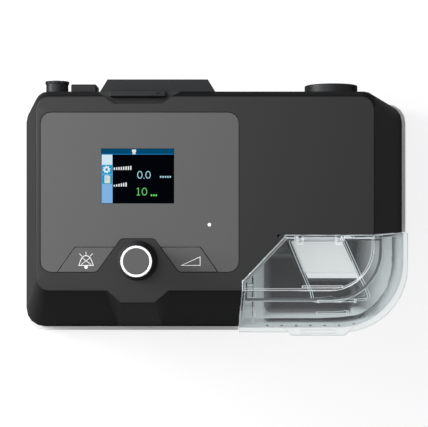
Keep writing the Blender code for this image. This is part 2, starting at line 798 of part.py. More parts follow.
def panel_cutters():
    """The seat that the panel drops into, and the openings through it."""
    seat_floor = PANEL_UNDER - SEAT_GAP
    above = CASE_TOP + CUT_OVERRUN
    below = INNER_TOP - CUT_OVERRUN
    knob_hole = BUSHING_OUTER + PIN_GAP + SEAT_GAP
    field = panel_field()
    return [
        plate("panel_seat", offset(field, PANEL_SEAM), seat_floor, above),
        plate("panel_way", offset(field, -PANEL_LEDGE), below, above),
        plate("left_button_way", button_outline(-1, PANEL_SEAM - BUTTON_SHELF), below, above),
        plate("right_button_way", button_outline(1, PANEL_SEAM - BUTTON_SHELF), below, above),
        cylinder("knob_way", knob_hole, (AXIS_X, KNOB_Y, CASE_TOP), REAR_BEVEL_DROP * 2),
    ]


def notch_outline():
    """The finger notch in plan, run out past the rear wall."""
    lean = (NOTCH_ROOT_HALF - NOTCH_FLOOR_HALF) / NOTCH_REACH
    front = TOP_REAR - NOTCH_REACH
    rear = BASE_REAR + CUT_OVERRUN
    half = NOTCH_FLOOR_HALF + lean * (rear - front)
    return [
        (AXIS_X - NOTCH_FLOOR_HALF, front),
        (AXIS_X + NOTCH_FLOOR_HALF, front),
        (AXIS_X + half, rear),
        (AXIS_X - half, rear),
    ]


def finger_notch():
    return plate("finger_notch", notch_outline(), NOTCH_FLOOR, CASE_TOP + CUT_OVERRUN)


def module_pocket():
    """Solid ground behind the rear wall for the finger notch and the module's slot."""
    half = NOTCH_ROOT_HALF + NOTCH_WALL
    front = TOP_REAR - NOTCH_REACH - NOTCH_WALL
    low = NOTCH_FLOOR - MODULE_CARD_LENGTH - SEAT_GAP - NOTCH_WALL / 2
    pocket = box("module_pocket", (AXIS_X - half, front, low), (AXIS_X + half, BASE_REAR, CASE_TOP))
    limit = case_block("pocket_limit", CASE_SPLIT, INNER_TOP + CASE_WALL / 2, CASE_WALL / 2)
    return keep_inside(pocket, limit)


def card_box(name, grow, top):
    """The module's card, or its slot when it is grown by the clearance."""
    half = MODULE_CARD_HALF + grow
    front = MODULE_FRONT + MODULE_EDGE / 2 - grow
    rear = front + MODULE_CARD_THICK + 2 * grow
    low = NOTCH_FLOOR - MODULE_CARD_LENGTH - grow
    return box(name, (AXIS_X - half, front, low), (AXIS_X + half, rear, top))


def module_slot():
    return card_box("module_slot", SEAT_GAP, NOTCH_FLOOR + CUT_OVERRUN)


def make_wireless_module(material):
    """A plug-in head with a small window, on a card that drops into the casing."""
    low = NOTCH_FLOOR + SEAT_GAP
    high = low + MODULE_HEAD_HEIGHT
    rear = MODULE_FRONT + MODULE_HEAD_THICK
    head = box(
        "wireless_module",
        (AXIS_X - MODULE_HEAD_HALF, MODULE_FRONT, low),
        (AXIS_X + MODULE_HEAD_HALF, rear, high),
    )
    part(head, material)
    round_edges(head, MODULE_EDGE)
    join(head, card_box("module_card", 0, low + CUT_OVERRUN))
    window = MODULE_WINDOW_SIZE / 2
    middle = AXIS_X + MODULE_WINDOW_OFFSET
    pane = box(
        "module_window",
        (middle - window, (MODULE_FRONT + rear) / 2 - window / 2, high - MODULE_WINDOW_DEPTH),
        (middle + window, (MODULE_FRONT + rear) / 2 + window / 2, high + CUT_OVERRUN),
    )
    return cut(head, pane)


def boss_places():
    """Where the case screws stand, clear of the tank bay."""
    left = BASE_LEFT + BOSS_SIDE_INSET
    right = BASE_RIGHT - BOSS_SIDE_INSET
    rear = BASE_REAR - BOSS_END_INSET
    front = BASE_FRONT + BOSS_END_INSET
    beside_bay = BAY_LEFT - LINER_WALL - BOSS_SIDE_INSET
    return [(left, front), (beside_bay, front), (left, rear), (right, rear)]


def case_bosses():
    """Screw bosses grown onto the walls, trimmed to the casing's outer form."""
    bosses = []
    for x, y in boss_places():
        middle = CASE_SPLIT + SEAT_GAP + BOSS_HEIGHT / 2
        boss = cylinder("case_boss", BOSS_RADIUS, (x, y, middle), BOSS_HEIGHT)
        bosses.append(keep_inside(boss, case_block("boss_limit", 0, INNER_TOP, CASE_WALL / 2)))
    return bosses


def boss_holes():
    length = SCREW_LENGTH * 2
    radius = SCREW_SHANK_RADIUS + PIN_GAP
    return [
        cylinder("boss_hole", radius, (x, y, SCREW_FOOT), length, steps=FINE_STEPS)
        for x, y in boss_places()
    ]


def rear_cutters():
    """Openings in the rear wall for the outlet, the power inlet, the data port and the air inlet."""
    middle = BASE_REAR
    length = CASE_WALL * 4
    outlet = HOSE_PORT_RADIUS + SEAT_GAP
    power = POWER_SHANK_RADIUS + SEAT_GAP
    return [
        cylinder("outlet_way", outlet, (OUTLET_X, middle, REAR_PORT_LEVEL), length, "Y"),
        cylinder("power_way", power, (POWER_X, middle, REAR_PORT_LEVEL), length, "Y"),
        plug_tongue("plug_way", SEAT_GAP, length),
        window_box("air_window", 0, BASE_REAR - length / 2, BASE_REAR + CUT_OVERRUN),
    ]


def plug_tongue(name, grow, length):
    """The tongue of the data port plug, or the opening that takes it."""
    half = PLUG_WIDTH / 2 - PLUG_TONGUE_MARGIN + grow
    low = PLUG_TOP_LEVEL - PLUG_HEIGHT + PLUG_TONGUE_MARGIN - grow
    high = PLUG_TOP_LEVEL - PLUG_TONGUE_MARGIN + grow
    front = BASE_REAR - length / 2
    return box(name, (PLUG_X - half, front, low), (PLUG_X + half, WALL_REAR + CUT_OVERRUN, high))


def window_box(name, grow, front, rear):
    """The air window through the rear wall, or a box that follows it."""
    half = COVER_WIDTH / 2 - WINDOW_MARGIN + grow
    low = COVER_BOTTOM + WINDOW_MARGIN - grow
    high = COVER_TOP_LEVEL - WINDOW_MARGIN + grow
    return box(name, (COVER_X - half, front, low), (COVER_X + half, rear, high))


def tray_ring(z, inset, lip):
    """The casing's base outline at a height, with its front and right edges stepped out."""
    ring = case_ring(CASE_SPLIT, inset)
    middle_x = (BASE_LEFT + BASE_RIGHT) / 2
    middle_y = (BASE_FRONT + BASE_REAR) / 2
    return [(x + (lip if x > middle_x else 0), y - (lip if y < middle_y else 0), z) for x, y, _ in ring]


def make_base_tray(material):
    """Base tray: a pan with a lip at the front and right, posts for what stands in it, and screw pads."""
    high = CASE_SPLIT - SEAT_GAP
    rings = [
        tray_ring(TRAY_BOTTOM, TRAY_EDGE_ROUND, TRAY_LIP),
        tray_ring(TRAY_BOTTOM + TRAY_EDGE_ROUND, 0, TRAY_LIP),
        tray_ring(high, 0, TRAY_LIP),
    ]
    tray = part(loft("base_tray", rings), material)
    hollow = [tray_ring(TRAY_TOP_FLOOR, TRAY_WALL, 0), tray_ring(high + CUT_OVERRUN, TRAY_WALL, 0)]
    cut(tray, loft("tray_hollow", hollow), tray_trim())
    join(tray, *tray_posts())
    for x, y in boss_places():
        recess = TRAY_BOTTOM + SCREW_RECESS + SCREW_HEAD_HEIGHT + SEAT_GAP
        hole = SCREW_SHANK_RADIUS + PIN_GAP
        head_hole = SCREW_HEAD_RADIUS + SEAT_GAP
        cut(tray, cylinder("screw_way", hole, (x, y, recess), SCREW_LENGTH, steps=FINE_STEPS))
        cut(tray, cylinder("head_way", head_hole, (x, y, 0), recess * 2, steps=FINE_STEPS))
    return tray


def tray_trim():
    """What comes off the tray's lip in front of the bay, where the tank has a flange of its own."""
    outline = [(x, y) for x, y, _ in case_ring(CASE_SPLIT)]
    trim = bay_block("tray_trim", TRAY_BOTTOM - CUT_OVERRUN, CASE_SPLIT + CUT_OVERRUN)
    return cut(trim, plate("trim_core", outline, 0, CASE_SPLIT + 2 * CUT_OVERRUN))


def tray_posts():
    """Posts under the main board and the dock, and the pads that the case screws pass through."""
    board_seat = TRAY_TOP_FLOOR + POST_HEIGHT
    dock_seat = DOCK_FLOOR - DOCK_FLOOR_THICK - SEAT_GAP
    pad_top = CASE_SPLIT
    low = TRAY_BOTTOM + TRAY_FLOOR / 2
    posts = [("board_post", x, y, POST_RADIUS, board_seat) for x, y in main_board_corners()]
    posts += [("dock_post", x, y, POST_RADIUS, dock_seat) for x, y in dock_post_places()]
    posts += [("screw_pad", x, y, SCREW_PAD_RADIUS, pad_top) for x, y in boss_places()]
    return [
        cylinder(name, radius, (x, y, (low + top) / 2), top - low, steps=FINE_STEPS)
        for name, x, y, radius, top in posts
    ]


def main_board_corners():
    left = AXIS_X + MAIN_BOARD_LEFT_FROM_AXIS
    rear = BASE_REAR - MAIN_BOARD_FROM_REAR
    across = (left + POST_INSET, left + MAIN_BOARD_WIDTH - POST_INSET)
    along = (rear - MAIN_BOARD_DEPTH + POST_INSET, rear - POST_INSET)
    return [(x, y) for x in across for y in along]


def dock_post_places():
    """Three posts around the heater."""
    side = HEATER_WIDTH / 2 + PAD_MARGIN + POST_RADIUS * 2
    return [
        (HEATER_X - side, HEATER_Y - HEATER_DEPTH / 2),
        (HEATER_X + side, HEATER_Y + HEATER_DEPTH / 2),
        (HEATER_X - side / 2, HEATER_Y + HEATER_DEPTH / 2 + PAD_MARGIN + POST_RADIUS * 2),
    ]


def make_feet(material):
    """Four round rubber feet under the tray."""
    left = BASE_LEFT + FOOT_INSET
    right = BASE_RIGHT - FOOT_INSET
    front = BASE_FRONT + FOOT_INSET
    rear = BASE_REAR - FOOT_INSET
    tank_corner = (BASE_RIGHT - TANK_FOOT_INSET, BASE_FRONT + TANK_FOOT_INSET)
    places = {
        "foot_front_left": (left, front),
        "foot_front_right": tank_corner,
        "foot_rear_left": (left, rear),
        "foot_rear_right": (right, rear),
    }
    for name, (x, y) in places.items():
        foot = part(cylinder(name, FOOT_RADIUS, (x, y, FOOT_HEIGHT / 2), FOOT_HEIGHT), material)
        round_edges(foot, FOOT_HEIGHT / 4, 1)


def make_case_screws(material):
    """Screws that hold the tray to the shell, from below."""
    head = SCREW_HEAD_RADIUS
    shank = SCREW_SHANK_RADIUS
    tip = SCREW_LENGTH
    profile = [(0, tip), (shank / 2, tip), (shank, tip - shank), (shank, SCREW_HEAD_HEIGHT)]
    profile += [(head, SCREW_HEAD_HEIGHT), (head, 0), (0, 0)]
    names = ("front_left", "front_middle", "rear_left", "rear_right")
    for name, (x, y) in zip(names, boss_places()):
        screw = turned("case_screw_" + name, profile, (x, y, SCREW_FOOT), steps=FINE_STEPS, closed=False)
        part(screw, material)


def make_control_panel(material):
    """Gray panel with its display window, the light's hole, and posts down to the control board."""
    panel = part(plate("control_panel", panel_field(), PANEL_UNDER, CASE_TOP), material)
    below = PANEL_UNDER - CUT_OVERRUN
    above = CASE_TOP + CUT_OVERRUN
    for side in (-1, 1):
        cut(panel, plate("panel_button_way", button_outline(side, PANEL_SEAM), below, above))
    cut(panel, display_box("panel_window", SEAT_GAP, below, above))
    join(panel, *panel_posts())
    light = (AXIS_X + LIGHT_OFFSET, LIGHT_Y, CASE_TOP)
    return cut(panel, cylinder("light_way", LIGHT_RADIUS + PIN_GAP, light, CASE_WALL * 2))


def display_box(name, grow, low, high):
    half = DISPLAY_WIDTH / 2 + grow
    rear = DISPLAY_REAR + grow
    front = DISPLAY_REAR - DISPLAY_DEPTH - grow
    return box(name, (DISPLAY_X - half, front, low), (DISPLAY_X + half, rear, high))


def panel_posts():
    """Posts that carry the control board under the panel."""
    low = BOARD_TOP + SEAT_GAP
    high = PANEL_UNDER + PANEL_THICK / 2
    inset = POST_INSET
    across = (AXIS_X - BOARD_HALF_WIDTH + inset, AXIS_X + BOARD_HALF_WIDTH - inset)
    along = (PANEL_FRONT + BUTTON_HEIGHT + inset, PANEL_REAR - BOARD_REAR_MARGIN - inset)
    return [
        cylinder("panel_post", POST_RADIUS, (x, y, (low + high) / 2), high - low, steps=FINE_STEPS)
        for x in across
        for y in along
    ]


def make_control_board(material):
    """Circuit board under the panel, which carries the display, the switches and the encoder."""
    low = (AXIS_X - BOARD_HALF_WIDTH, PANEL_FRONT + BOARD_FRONT_MARGIN, BOARD_TOP - BOARD_THICK)
    high = (AXIS_X + BOARD_HALF_WIDTH, PANEL_REAR - BOARD_REAR_MARGIN, BOARD_TOP)
    return part(box("control_board", low, high), material)


def make_display(window_material, module_material):
    """The clear window flush with the panel, and the display that stands under it on the board."""
    part(display_box("display_window", 0, PANEL_UNDER, CASE_TOP), window_material)
    top = PANEL_UNDER - SEAT_GAP
    module = part(display_box("display_module", DISPLAY_FRAME, BOARD_TOP + SEAT_GAP, top), module_material)
    hollow = DISPLAY_FRAME - DISPLAY_LEG_WALL
    return cut(module, display_box("module_hollow", hollow, BOARD_TOP - CUT_OVERRUN, top - DISPLAY_LEG_WALL))


def make_status_light(material):
    """Light pipe that stands on the board and shows as a dot in the panel."""
    low = BOARD_TOP + SEAT_GAP
    middle = (AXIS_X + LIGHT_OFFSET, LIGHT_Y, (low + CASE_TOP) / 2)
    pipe = cylinder("status_light_pipe", LIGHT_RADIUS, middle, CASE_TOP - low, steps=FINE_STEPS)
    return part(pipe, material)


def make_button(name, side, button_material, switch_material):
    """A flush push button on a stem, above its switch."""
    button = part(plate(name + "_button", button_outline(side), PANEL_UNDER, CASE_TOP), button_material)
    switch_top = BOARD_TOP + SEAT_GAP + SWITCH_HEIGHT
    x = AXIS_X + side * BUTTON_STEM_OFFSET
    y = PANEL_FRONT + BUTTON_HEIGHT / 2
    low = switch_top + BUTTON_TRAVEL + PRESS_RESERVE
    high = PANEL_UNDER + PANEL_THICK / 2
    middle = (x, y, (low + high) / 2)
    join(button, cylinder("stem", BUTTON_STEM_RADIUS, middle, high - low, steps=FINE_STEPS))
    half = SWITCH_SIDE / 2
    bottom = BOARD_TOP + SEAT_GAP
    switch = box(name + "_switch", (x - half, y - half, bottom), (x + half, y + half, switch_top))
    part(switch, switch_material)


def make_encoder(body_material, metal):
    """Rotary encoder: body with its bushing, the shaft, and the plunger that the shaft presses."""
    low = BOARD_TOP + SEAT_GAP
    half = ENCODER_SIDE / 2
    bore = ENCODER_SHAFT_RADIUS + PIN_GAP
    far_corner = (AXIS_X + half, KNOB_Y + half, ENCODER_TOP)
    body = part(box("encoder_body", (AXIS_X - half, KNOB_Y - half, low), far_corner), body_material)
    bushing_low = low + ENCODER_HEIGHT / 2
    bushing_top = CASE_TOP
    middle = (AXIS_X, KNOB_Y, (bushing_low + bushing_top) / 2)
    join(body, cylinder("bushing", BUSHING_OUTER, middle, bushing_top - bushing_low))
    cut(body, cylinder("encoder_bore", bore, middle, bushing_top))
    plunger_low = low + KNOB_TRAVEL
    middle = (AXIS_X, KNOB_Y, (plunger_low + PLUNGER_TOP) / 2)
    part(cylinder("encoder_plunger", ENCODER_SHAFT_RADIUS, middle, PLUNGER_TOP - plunger_low), metal)
    shaft_low = PLUNGER_TOP + SEAT_GAP
    middle = (AXIS_X, KNOB_Y, (shaft_low + SHAFT_TOP) / 2)
    part(cylinder("encoder_shaft", ENCODER_SHAFT_RADIUS, middle, SHAFT_TOP - shaft_low), metal)


def make_knob(body_material, ring_material, cap_material):
    """Tapered hollow knob on the shaft, with a light ring and a cap let into its top."""
    top = KNOB_BOTTOM + KNOB_HEIGHT
    recess = RING_DEPTH + SEAT_GAP
    roof = KNOB_HEIGHT - recess - KNOB_WALL
    bore = ENCODER_SHAFT_RADIUS + PIN_GAP
    bore_top = SHAFT_TOP + SEAT_GAP - KNOB_BOTTOM
    hub_low = CASE_TOP + KNOB_TRAVEL + PRESS_RESERVE * 2 - KNOB_BOTTOM + KNOB_WALL
    recess_radius = RING_OUTER_RADIUS + SEAT_GAP
    profile = [
        (0, KNOB_HEIGHT - recess),
        (recess_radius, KNOB_HEIGHT - recess),
        (recess_radius, KNOB_HEIGHT),
        (KNOB_TOP_RADIUS - SEAT_GAP, KNOB_HEIGHT),
        (KNOB_TOP_RADIUS, KNOB_HEIGHT - KNOB_EDGE),
        (KNOB_SKIRT_RADIUS, KNOB_EDGE),
        (KNOB_SKIRT_RADIUS - KNOB_EDGE / 2, 0),
        (KNOB_SKIRT_RADIUS - KNOB_WALL, 0),
        (KNOB_TOP_RADIUS - KNOB_WALL, roof),
        (KNOB_HUB_RADIUS, roof),
        (KNOB_HUB_RADIUS, hub_low),
        (bore, hub_low),
        (bore, bore_top),
        (0, bore_top),
    ]
    place = (AXIS_X, KNOB_Y, KNOB_BOTTOM)
    part(turned("knob_body", profile, place, steps=KNOB_STEPS, closed=False), body_material)
    inner = RING_OUTER_RADIUS - RING_WIDTH
    low = KNOB_HEIGHT - RING_DEPTH
    ring = [(inner, KNOB_HEIGHT), (RING_OUTER_RADIUS, KNOB_HEIGHT), (RING_OUTER_RADIUS, low), (inner, low)]
    part(turned("knob_light_ring", ring, place, steps=KNOB_STEPS), ring_material)
    cap_middle = (AXIS_X, KNOB_Y, top - CAP_THICK / 2)
    part(cylinder("knob_cap", inner - SEAT_GAP, cap_middle, CAP_THICK, steps=KNOB_STEPS), cap_material)


def make_dock(liner_material, plate_material, pad_material, seal_material):
    """Dock liner behind the tank, with the heater in its floor and the air port seals in its rear wall."""
    low = DOCK_FLOOR - DOCK_FLOOR_THICK
    high = INNER_TOP - SEAT_GAP
    liner = part(bay_block("dock_liner", low, high, -LINER_WALL), liner_material)
    cut(liner, bay_block("liner_hollow", DOCK_FLOOR, high + CUT_OVERRUN), swing_relief())
    keep_inside(liner, case_block("liner_limit", 0, INNER_TOP, CASE_WALL + SEAT_GAP))
    size = (HEATER_WIDTH, HEATER_DEPTH)
    centre = (HEATER_X, HEATER_Y)
    hole = (HEATER_WIDTH + 2 * SEAT_GAP, HEATER_DEPTH + 2 * SEAT_GAP)
    cut(liner, plan_box("heater_way", centre, hole, 0, DOCK_FLOOR + CUT_OVERRUN, HEATER_CORNER))
    plate_low = DOCK_FLOOR - HEATER_THICK
    part(plan_box("heater_plate", centre, size, plate_low, DOCK_FLOOR, HEATER_CORNER), plate_material)
    pad_top = low - SEAT_GAP
    pad_size = (HEATER_WIDTH + 2 * PAD_MARGIN, HEATER_DEPTH + 2 * PAD_MARGIN)
    pad = plan_box("heater_pad", centre, pad_size, TRAY_TOP_FLOOR + SEAT_GAP, pad_top, HEATER_CORNER)
    riser_low = pad_top - SEAT_GAP
    riser = plan_box("pad_riser", centre, size, riser_low, plate_low - SEAT_GAP, HEATER_CORNER)
    join(part(pad, pad_material), riser)
    for name, x in (("inlet_port_seal", INLET_PORT_X), ("outlet_port_seal", OUTLET_PORT_X)):
        cut(liner, cylinder("port_way", SEAL_OUTER + SEAT_GAP, (x, BAY_REAR, PORT_Z), LINER_WALL * 4, "Y"))
        length = LINER_WALL
        ring = [(PORT_RADIUS, length), (SEAL_OUTER, length), (SEAL_OUTER, 0), (PORT_RADIUS, 0)]
        part(turned(name, ring, (x, BAY_REAR, PORT_Z), "Y"), seal_material)


def tank_block(name, low, high, inset):
    """The tank's own form: the casing's outer form inside the bay, moved in by a wall."""
    block = case_block(name, low, high, inset)
    return keep_inside(block, bay_block(name + "_bay", 0, CASE_TOP + REAR_BEVEL_DROP, SLIDE_GAP + inset))


def front_of_case(z):
    return case_limits(z, 0)[2]


def level_bar(name, half, level):
    """A raised bar across the tank's front slope, and the short legs that hang from its two ends."""
    x = BAY_LEFT + BAR_FROM_BAY_LEFT + HIGH_BAR_HALF
    rear = front_of_case(level) + TANK_WALL / 2
    high = level + LEVEL_BAR_HEIGHT
    low = level - LEVEL_LEG_DROP
    leg_front = front_of_case(low) - LEVEL_BAR_PROUD
    bars = [box(name, (x - half, front_of_case(level) - LEVEL_BAR_PROUD, level), (x + half, rear, high))]
    for left in (x - half - LEVEL_BAR_HEIGHT, x + half):
        right = left + LEVEL_BAR_HEIGHT
        bars.append(box(name + "_leg", (left, leg_front, low), (right, rear, high)))
    return bars


def make_tank_tub(material):
    """Lower half of the clear tank, with its grip lip and the ears of the lid's hinge."""
    tub = part(tank_block("tank_tub", TANK_FLOOR, TANK_PARTING, 0), material)
    cut(tub, tank_block("tub_hollow", TANK_FLOOR + TANK_WALL, TANK_PARTING + CUT_OVERRUN, TANK_WALL))
    join(tub, tank_flange(), tank_lip(), *tank_baffle(), *hinge_ears())
    join(tub, *level_bar("low_bar", LOW_BAR_HALF, LOW_BAR_LEVEL))
    cut(tub, lip_slot())
    hole = (HEATER_WIDTH, HEATER_DEPTH)
    cut(tub, plan_box("plate_way", (HEATER_X, HEATER_Y), hole, 0, TANK_FLOOR + TANK_WALL * 2, HEATER_CORNER))
    return cut(tub, hinge_bar("ear_bore", HINGE_PIN_RADIUS + PIN_GAP, CUT_OVERRUN))


def tank_flange():
    """The flange at the tank's foot, and the wall that thickens down to it."""
    high = TANK_FLOOR + FLANGE_THICK
    flange = loft("tank_flange", [tray_ring(z, 0, FLANGE_REACH) for z in (TANK_FLOOR, high)])
    join(flange, loft("skirt", [tray_ring(TANK_FLOOR, 0, SKIRT_REACH), case_ring(SKIRT_TOP)]))
    core = [case_ring(z, TANK_WALL / 2) for z in (TANK_FLOOR - CUT_OVERRUN, SKIRT_TOP + CUT_OVERRUN)]
    cut(flange, loft("flange_core", core))
    return keep_inside(flange, bay_block("flange_bay", 0, CASE_TOP, SLIDE_GAP))


def tank_baffle():
    """A low wall along the tank's left side, and the cross ribs that tie it to that side."""
    left = BAY_LEFT + SLIDE_GAP + TANK_WALL / 2
    wall = BAY_LEFT + BAFFLE_FROM_BAY_LEFT
    rear = BAY_REAR - BAY_DIAGONAL_DEPTH
    front = rear - BAFFLE_LENGTH
    low = TANK_FLOOR + TANK_WALL / 2
    pieces = [box("baffle", (wall, front, low), (wall + BAFFLE_THICK, rear, BAFFLE_TOP))]
    for i in range(BAFFLE_RIB_COUNT):
        y = front + (rear - front) * (i + 1) / (BAFFLE_RIB_COUNT + 1)
        top = BAFFLE_TOP - BAFFLE_THICK
        pieces.append(box("baffle_rib", (left, y, low), (wall + BAFFLE_THICK / 2, y + BAFFLE_THICK, top)))
    return pieces


def lip_slot():
    """A shallow slot along the finger lip."""
    x = BAY_LEFT + LIP_FROM_BAY_LEFT
    front = BASE_FRONT - TRAY_LIP - LIP_REACH
    high = TANK_FLOOR + LIP_THICK
    low_corner = (x - LIP_SLOT_HALF, front + LIP_SLOT_FRONT, high - LIP_SLOT_DEPTH)
    return box("lip_slot", low_corner, (x + LIP_SLOT_HALF, front + LIP_SLOT_REAR, high + CUT_OVERRUN))


def tank_lip():
    """The finger lip at the foot of the tank."""
    x = BAY_LEFT + LIP_FROM_BAY_LEFT
    front = BASE_FRONT - TRAY_LIP - LIP_REACH
    rear = BASE_FRONT + TANK_WALL / 2
    outline = [
        (x - LIP_TIP_HALF, front),
        (x + LIP_TIP_HALF, front),
        (x + LIP_ROOT_HALF, rear),
        (x - LIP_ROOT_HALF, rear),
    ]
    outline = rounded(outline, [TANK_WALL, TANK_WALL, 0, 0])
    return plate("finger_lip", outline, TANK_FLOOR, TANK_FLOOR + LIP_THICK)


def ear_places():
    """Left faces of the two ears that carry the hinge pin."""
    return (HINGE_LEFT, HINGE_LEFT + HINGE_SPAN - HINGE_EAR_WIDTH)


def hinge_ears():
    ears = []
    rear = TANK_REAR - HINGE_EAR_SETBACK
    for x in ear_places():
        right = x + HINGE_EAR_WIDTH
        post = box("hinge_ear", (x, rear - HINGE_EAR_DEPTH, TANK_PARTING + SEAT_GAP), (right, rear, HINGE_Z))
        foot_front = rear - TANK_WALL + 2 * HINGE_EAR_SETBACK
        foot = box("ear_foot", (x, foot_front, TANK_PARTING - TANK_WALL), (right, rear, HINGE_Z))
        middle = (x + HINGE_EAR_WIDTH / 2, HINGE_Y, HINGE_Z)
        eye = cylinder("ear_eye", HINGE_KNUCKLE_RADIUS, middle, HINGE_EAR_WIDTH, "X", FINE_STEPS)
        ears += [foot, post, eye]
    return ears


def hinge_bar(name, radius, overrun=0):
    middle = (HINGE_LEFT + HINGE_SPAN / 2, HINGE_Y, HINGE_Z)
    return cylinder(name, radius, middle, HINGE_SPAN + 2 * overrun, "X", FINE_STEPS)


def make_tank_lid(material):
    """Upper half of the clear tank, with two air ports and its hinge on the rear side."""
    lid = part(tank_block("tank_lid", TANK_PARTING + SEAT_GAP, CASE_TOP, 0), material)
    cut(lid, tank_block("lid_hollow", TANK_PARTING - CUT_OVERRUN, CASE_TOP - TANK_WALL, TANK_WALL))
    for x in (INLET_PORT_X, OUTLET_PORT_X):
        cut(lid, cylinder("lid_port", PORT_RADIUS, (x, TANK_REAR, PORT_Z), TANK_WALL * 4, "Y"))
    join(lid, *level_bar("high_bar", HIGH_BAR_HALF, HIGH_BAR_LEVEL), top_bar())
    cut(lid, lid_edge_chamfer())
    join(lid, hinge_bar("lid_knuckle", HINGE_KNUCKLE_RADIUS, -HINGE_EAR_WIDTH - HINGE_SIDE_GAP))
    for x in ear_places():
        low = (x - HINGE_SIDE_GAP, TANK_REAR - HINGE_CLEAR_DEPTH, TANK_PARTING)
        high = (x + HINGE_EAR_WIDTH + HINGE_SIDE_GAP, TANK_REAR + CUT_OVERRUN, CASE_TOP + CUT_OVERRUN)
        cut(lid, box("ear_slot", low, high))
    return cut(lid, hinge_bar("knuckle_bore", HINGE_PIN_RADIUS + PIN_GAP, CUT_OVERRUN))


def top_bar():
    """A raised bar along the lid's front top edge."""
    x = BAY_LEFT + BAR_FROM_BAY_LEFT
    front = TOP_FRONT + TOP_BAR_FROM_EDGE
    low = CASE_TOP - TANK_WALL / 2
    return box(
        "top_bar",
        (x - TOP_BAR_HALF, front, low),
        (x + TOP_BAR_HALF, front + TOP_BAR_DEPTH, CASE_TOP + TOP_BAR_PROUD),
    )


def lid_edge_chamfer():
    """A chamfer along the lid's rear top edge, which lets the lid swing inside the bay."""
    side = LID_EDGE * 4
    reach = (side / 2 - LID_EDGE / math.sqrt(2)) / math.sqrt(2)
    bar = box("lid_chamfer", (-CASE_WIDTH / 2, -side / 2, -side / 2), (CASE_WIDTH / 2, side / 2, side / 2))
    bar.location = (BAY_LEFT + CASE_WIDTH / 4, TANK_REAR + reach, CASE_TOP + reach)
    bar.rotation_euler = (math.pi / 4, 0, 0)
    return bar


def make_tank_fittings(seal_material, steel, clear, frosted):
    """The seal in the tub's mouth, the heated base plate, the hinge pin, the air guide and its deflector."""
    seal_top = TANK_PARTING - SEAT_GAP
    seal_low = seal_top - SEAL_HEIGHT
    seal = part(tank_block("tank_seal", seal_low, seal_top, TANK_WALL + SEAT_GAP), seal_material)
    inner = TANK_WALL + SEAT_GAP + SEAL_WIDTH
    cut(seal, tank_block("seal_hollow", seal_low - CUT_OVERRUN, seal_top + CUT_OVERRUN, inner))
    centre = (HEATER_X, HEATER_Y)
    floor_top = TANK_FLOOR + TANK_WALL + SEAT_GAP
    inset = 2 * SEAT_GAP
    contact = (HEATER_WIDTH - inset, HEATER_DEPTH - inset)
    flange = (HEATER_WIDTH + 2 * TANK_PLATE_MARGIN, HEATER_DEPTH + 2 * TANK_PLATE_MARGIN)
    top = floor_top + TANK_PLATE_THICK
    base = part(plan_box("tank_base_plate", centre, flange, floor_top, top, HEATER_CORNER), steel)
    middle = top - TANK_PLATE_THICK / 2
    join(base, plan_box("plate_contact", centre, contact, TANK_FLOOR, middle, HEATER_CORNER))
    part(hinge_bar("lid_hinge_pin", HINGE_PIN_RADIUS), steel)
    make_air_guide(clear, frosted)


def slanted_box(name, low, high, pivot, turn):
    """A block given about a pivot and turned there about the X direction."""
    made = box(name, low, high)
    middle = (Vector(low) + Vector(high)) / 2
    made.matrix_world = Matrix.Translation(pivot) @ Matrix.Rotation(turn, 4, "X") @ Matrix.Translation(middle)
    return made


def make_air_guide(clear, frosted):
    """A clear chute that falls towards the tank's front, with a frosted deflector lying in it."""
    outline = guide_outline()
    low = TANK_FLOOR + TANK_WALL + TANK_PLATE_THICK + 2 * SEAT_GAP
    high = GUIDE_TOP_LEVEL
    rear = TANK_REAR - TANK_WALL - SEAT_GAP
    fall = math.atan(GUIDE_FALL / GUIDE_LENGTH)
    pivot = (BAY_LEFT, rear, high)
    far = CASE_WIDTH / 2
    guide = part(plate("tank_air_guide", outline, low, high), clear)
    cut(guide, plate("guide_hollow", offset(outline, -GUIDE_WALL), low - CUT_OVERRUN, high + CUT_OVERRUN))
    cut(guide, slanted_box("guide_slant", (0, -far, 0), (far, CUT_OVERRUN, CASE_TOP), pivot, fall))
    start = -GUIDE_WALL - SEAT_GAP - CUT_OVERRUN
    slab_low = (0, -DEFLECTOR_LENGTH, -DEFLECTOR_DROP - DEFLECTOR_THICK)
    slab = slanted_box("inlet_deflector", slab_low, (far, start, -DEFLECTOR_DROP), pivot, fall)
    room = offset(outline, -GUIDE_WALL - SEAT_GAP)
    keep_inside(part(slab, frosted), plate("deflector_fit", room, low, high))


def guide_outline():
    rear = TANK_REAR - TANK_WALL - SEAT_GAP
    front = rear - GUIDE_LENGTH
    left = BAY_LEFT + GUIDE_REAR_LEFT_FROM_BAY_LEFT
    front_left = left + GUIDE_SLANT
    corners = [
        (front_left, front),
        (front_left + GUIDE_FRONT_WIDTH, front),
        (left + GUIDE_REAR_WIDTH, rear),
        (left, rear),
    ]
    return rounded(corners, [GUIDE_CORNER] * len(corners))


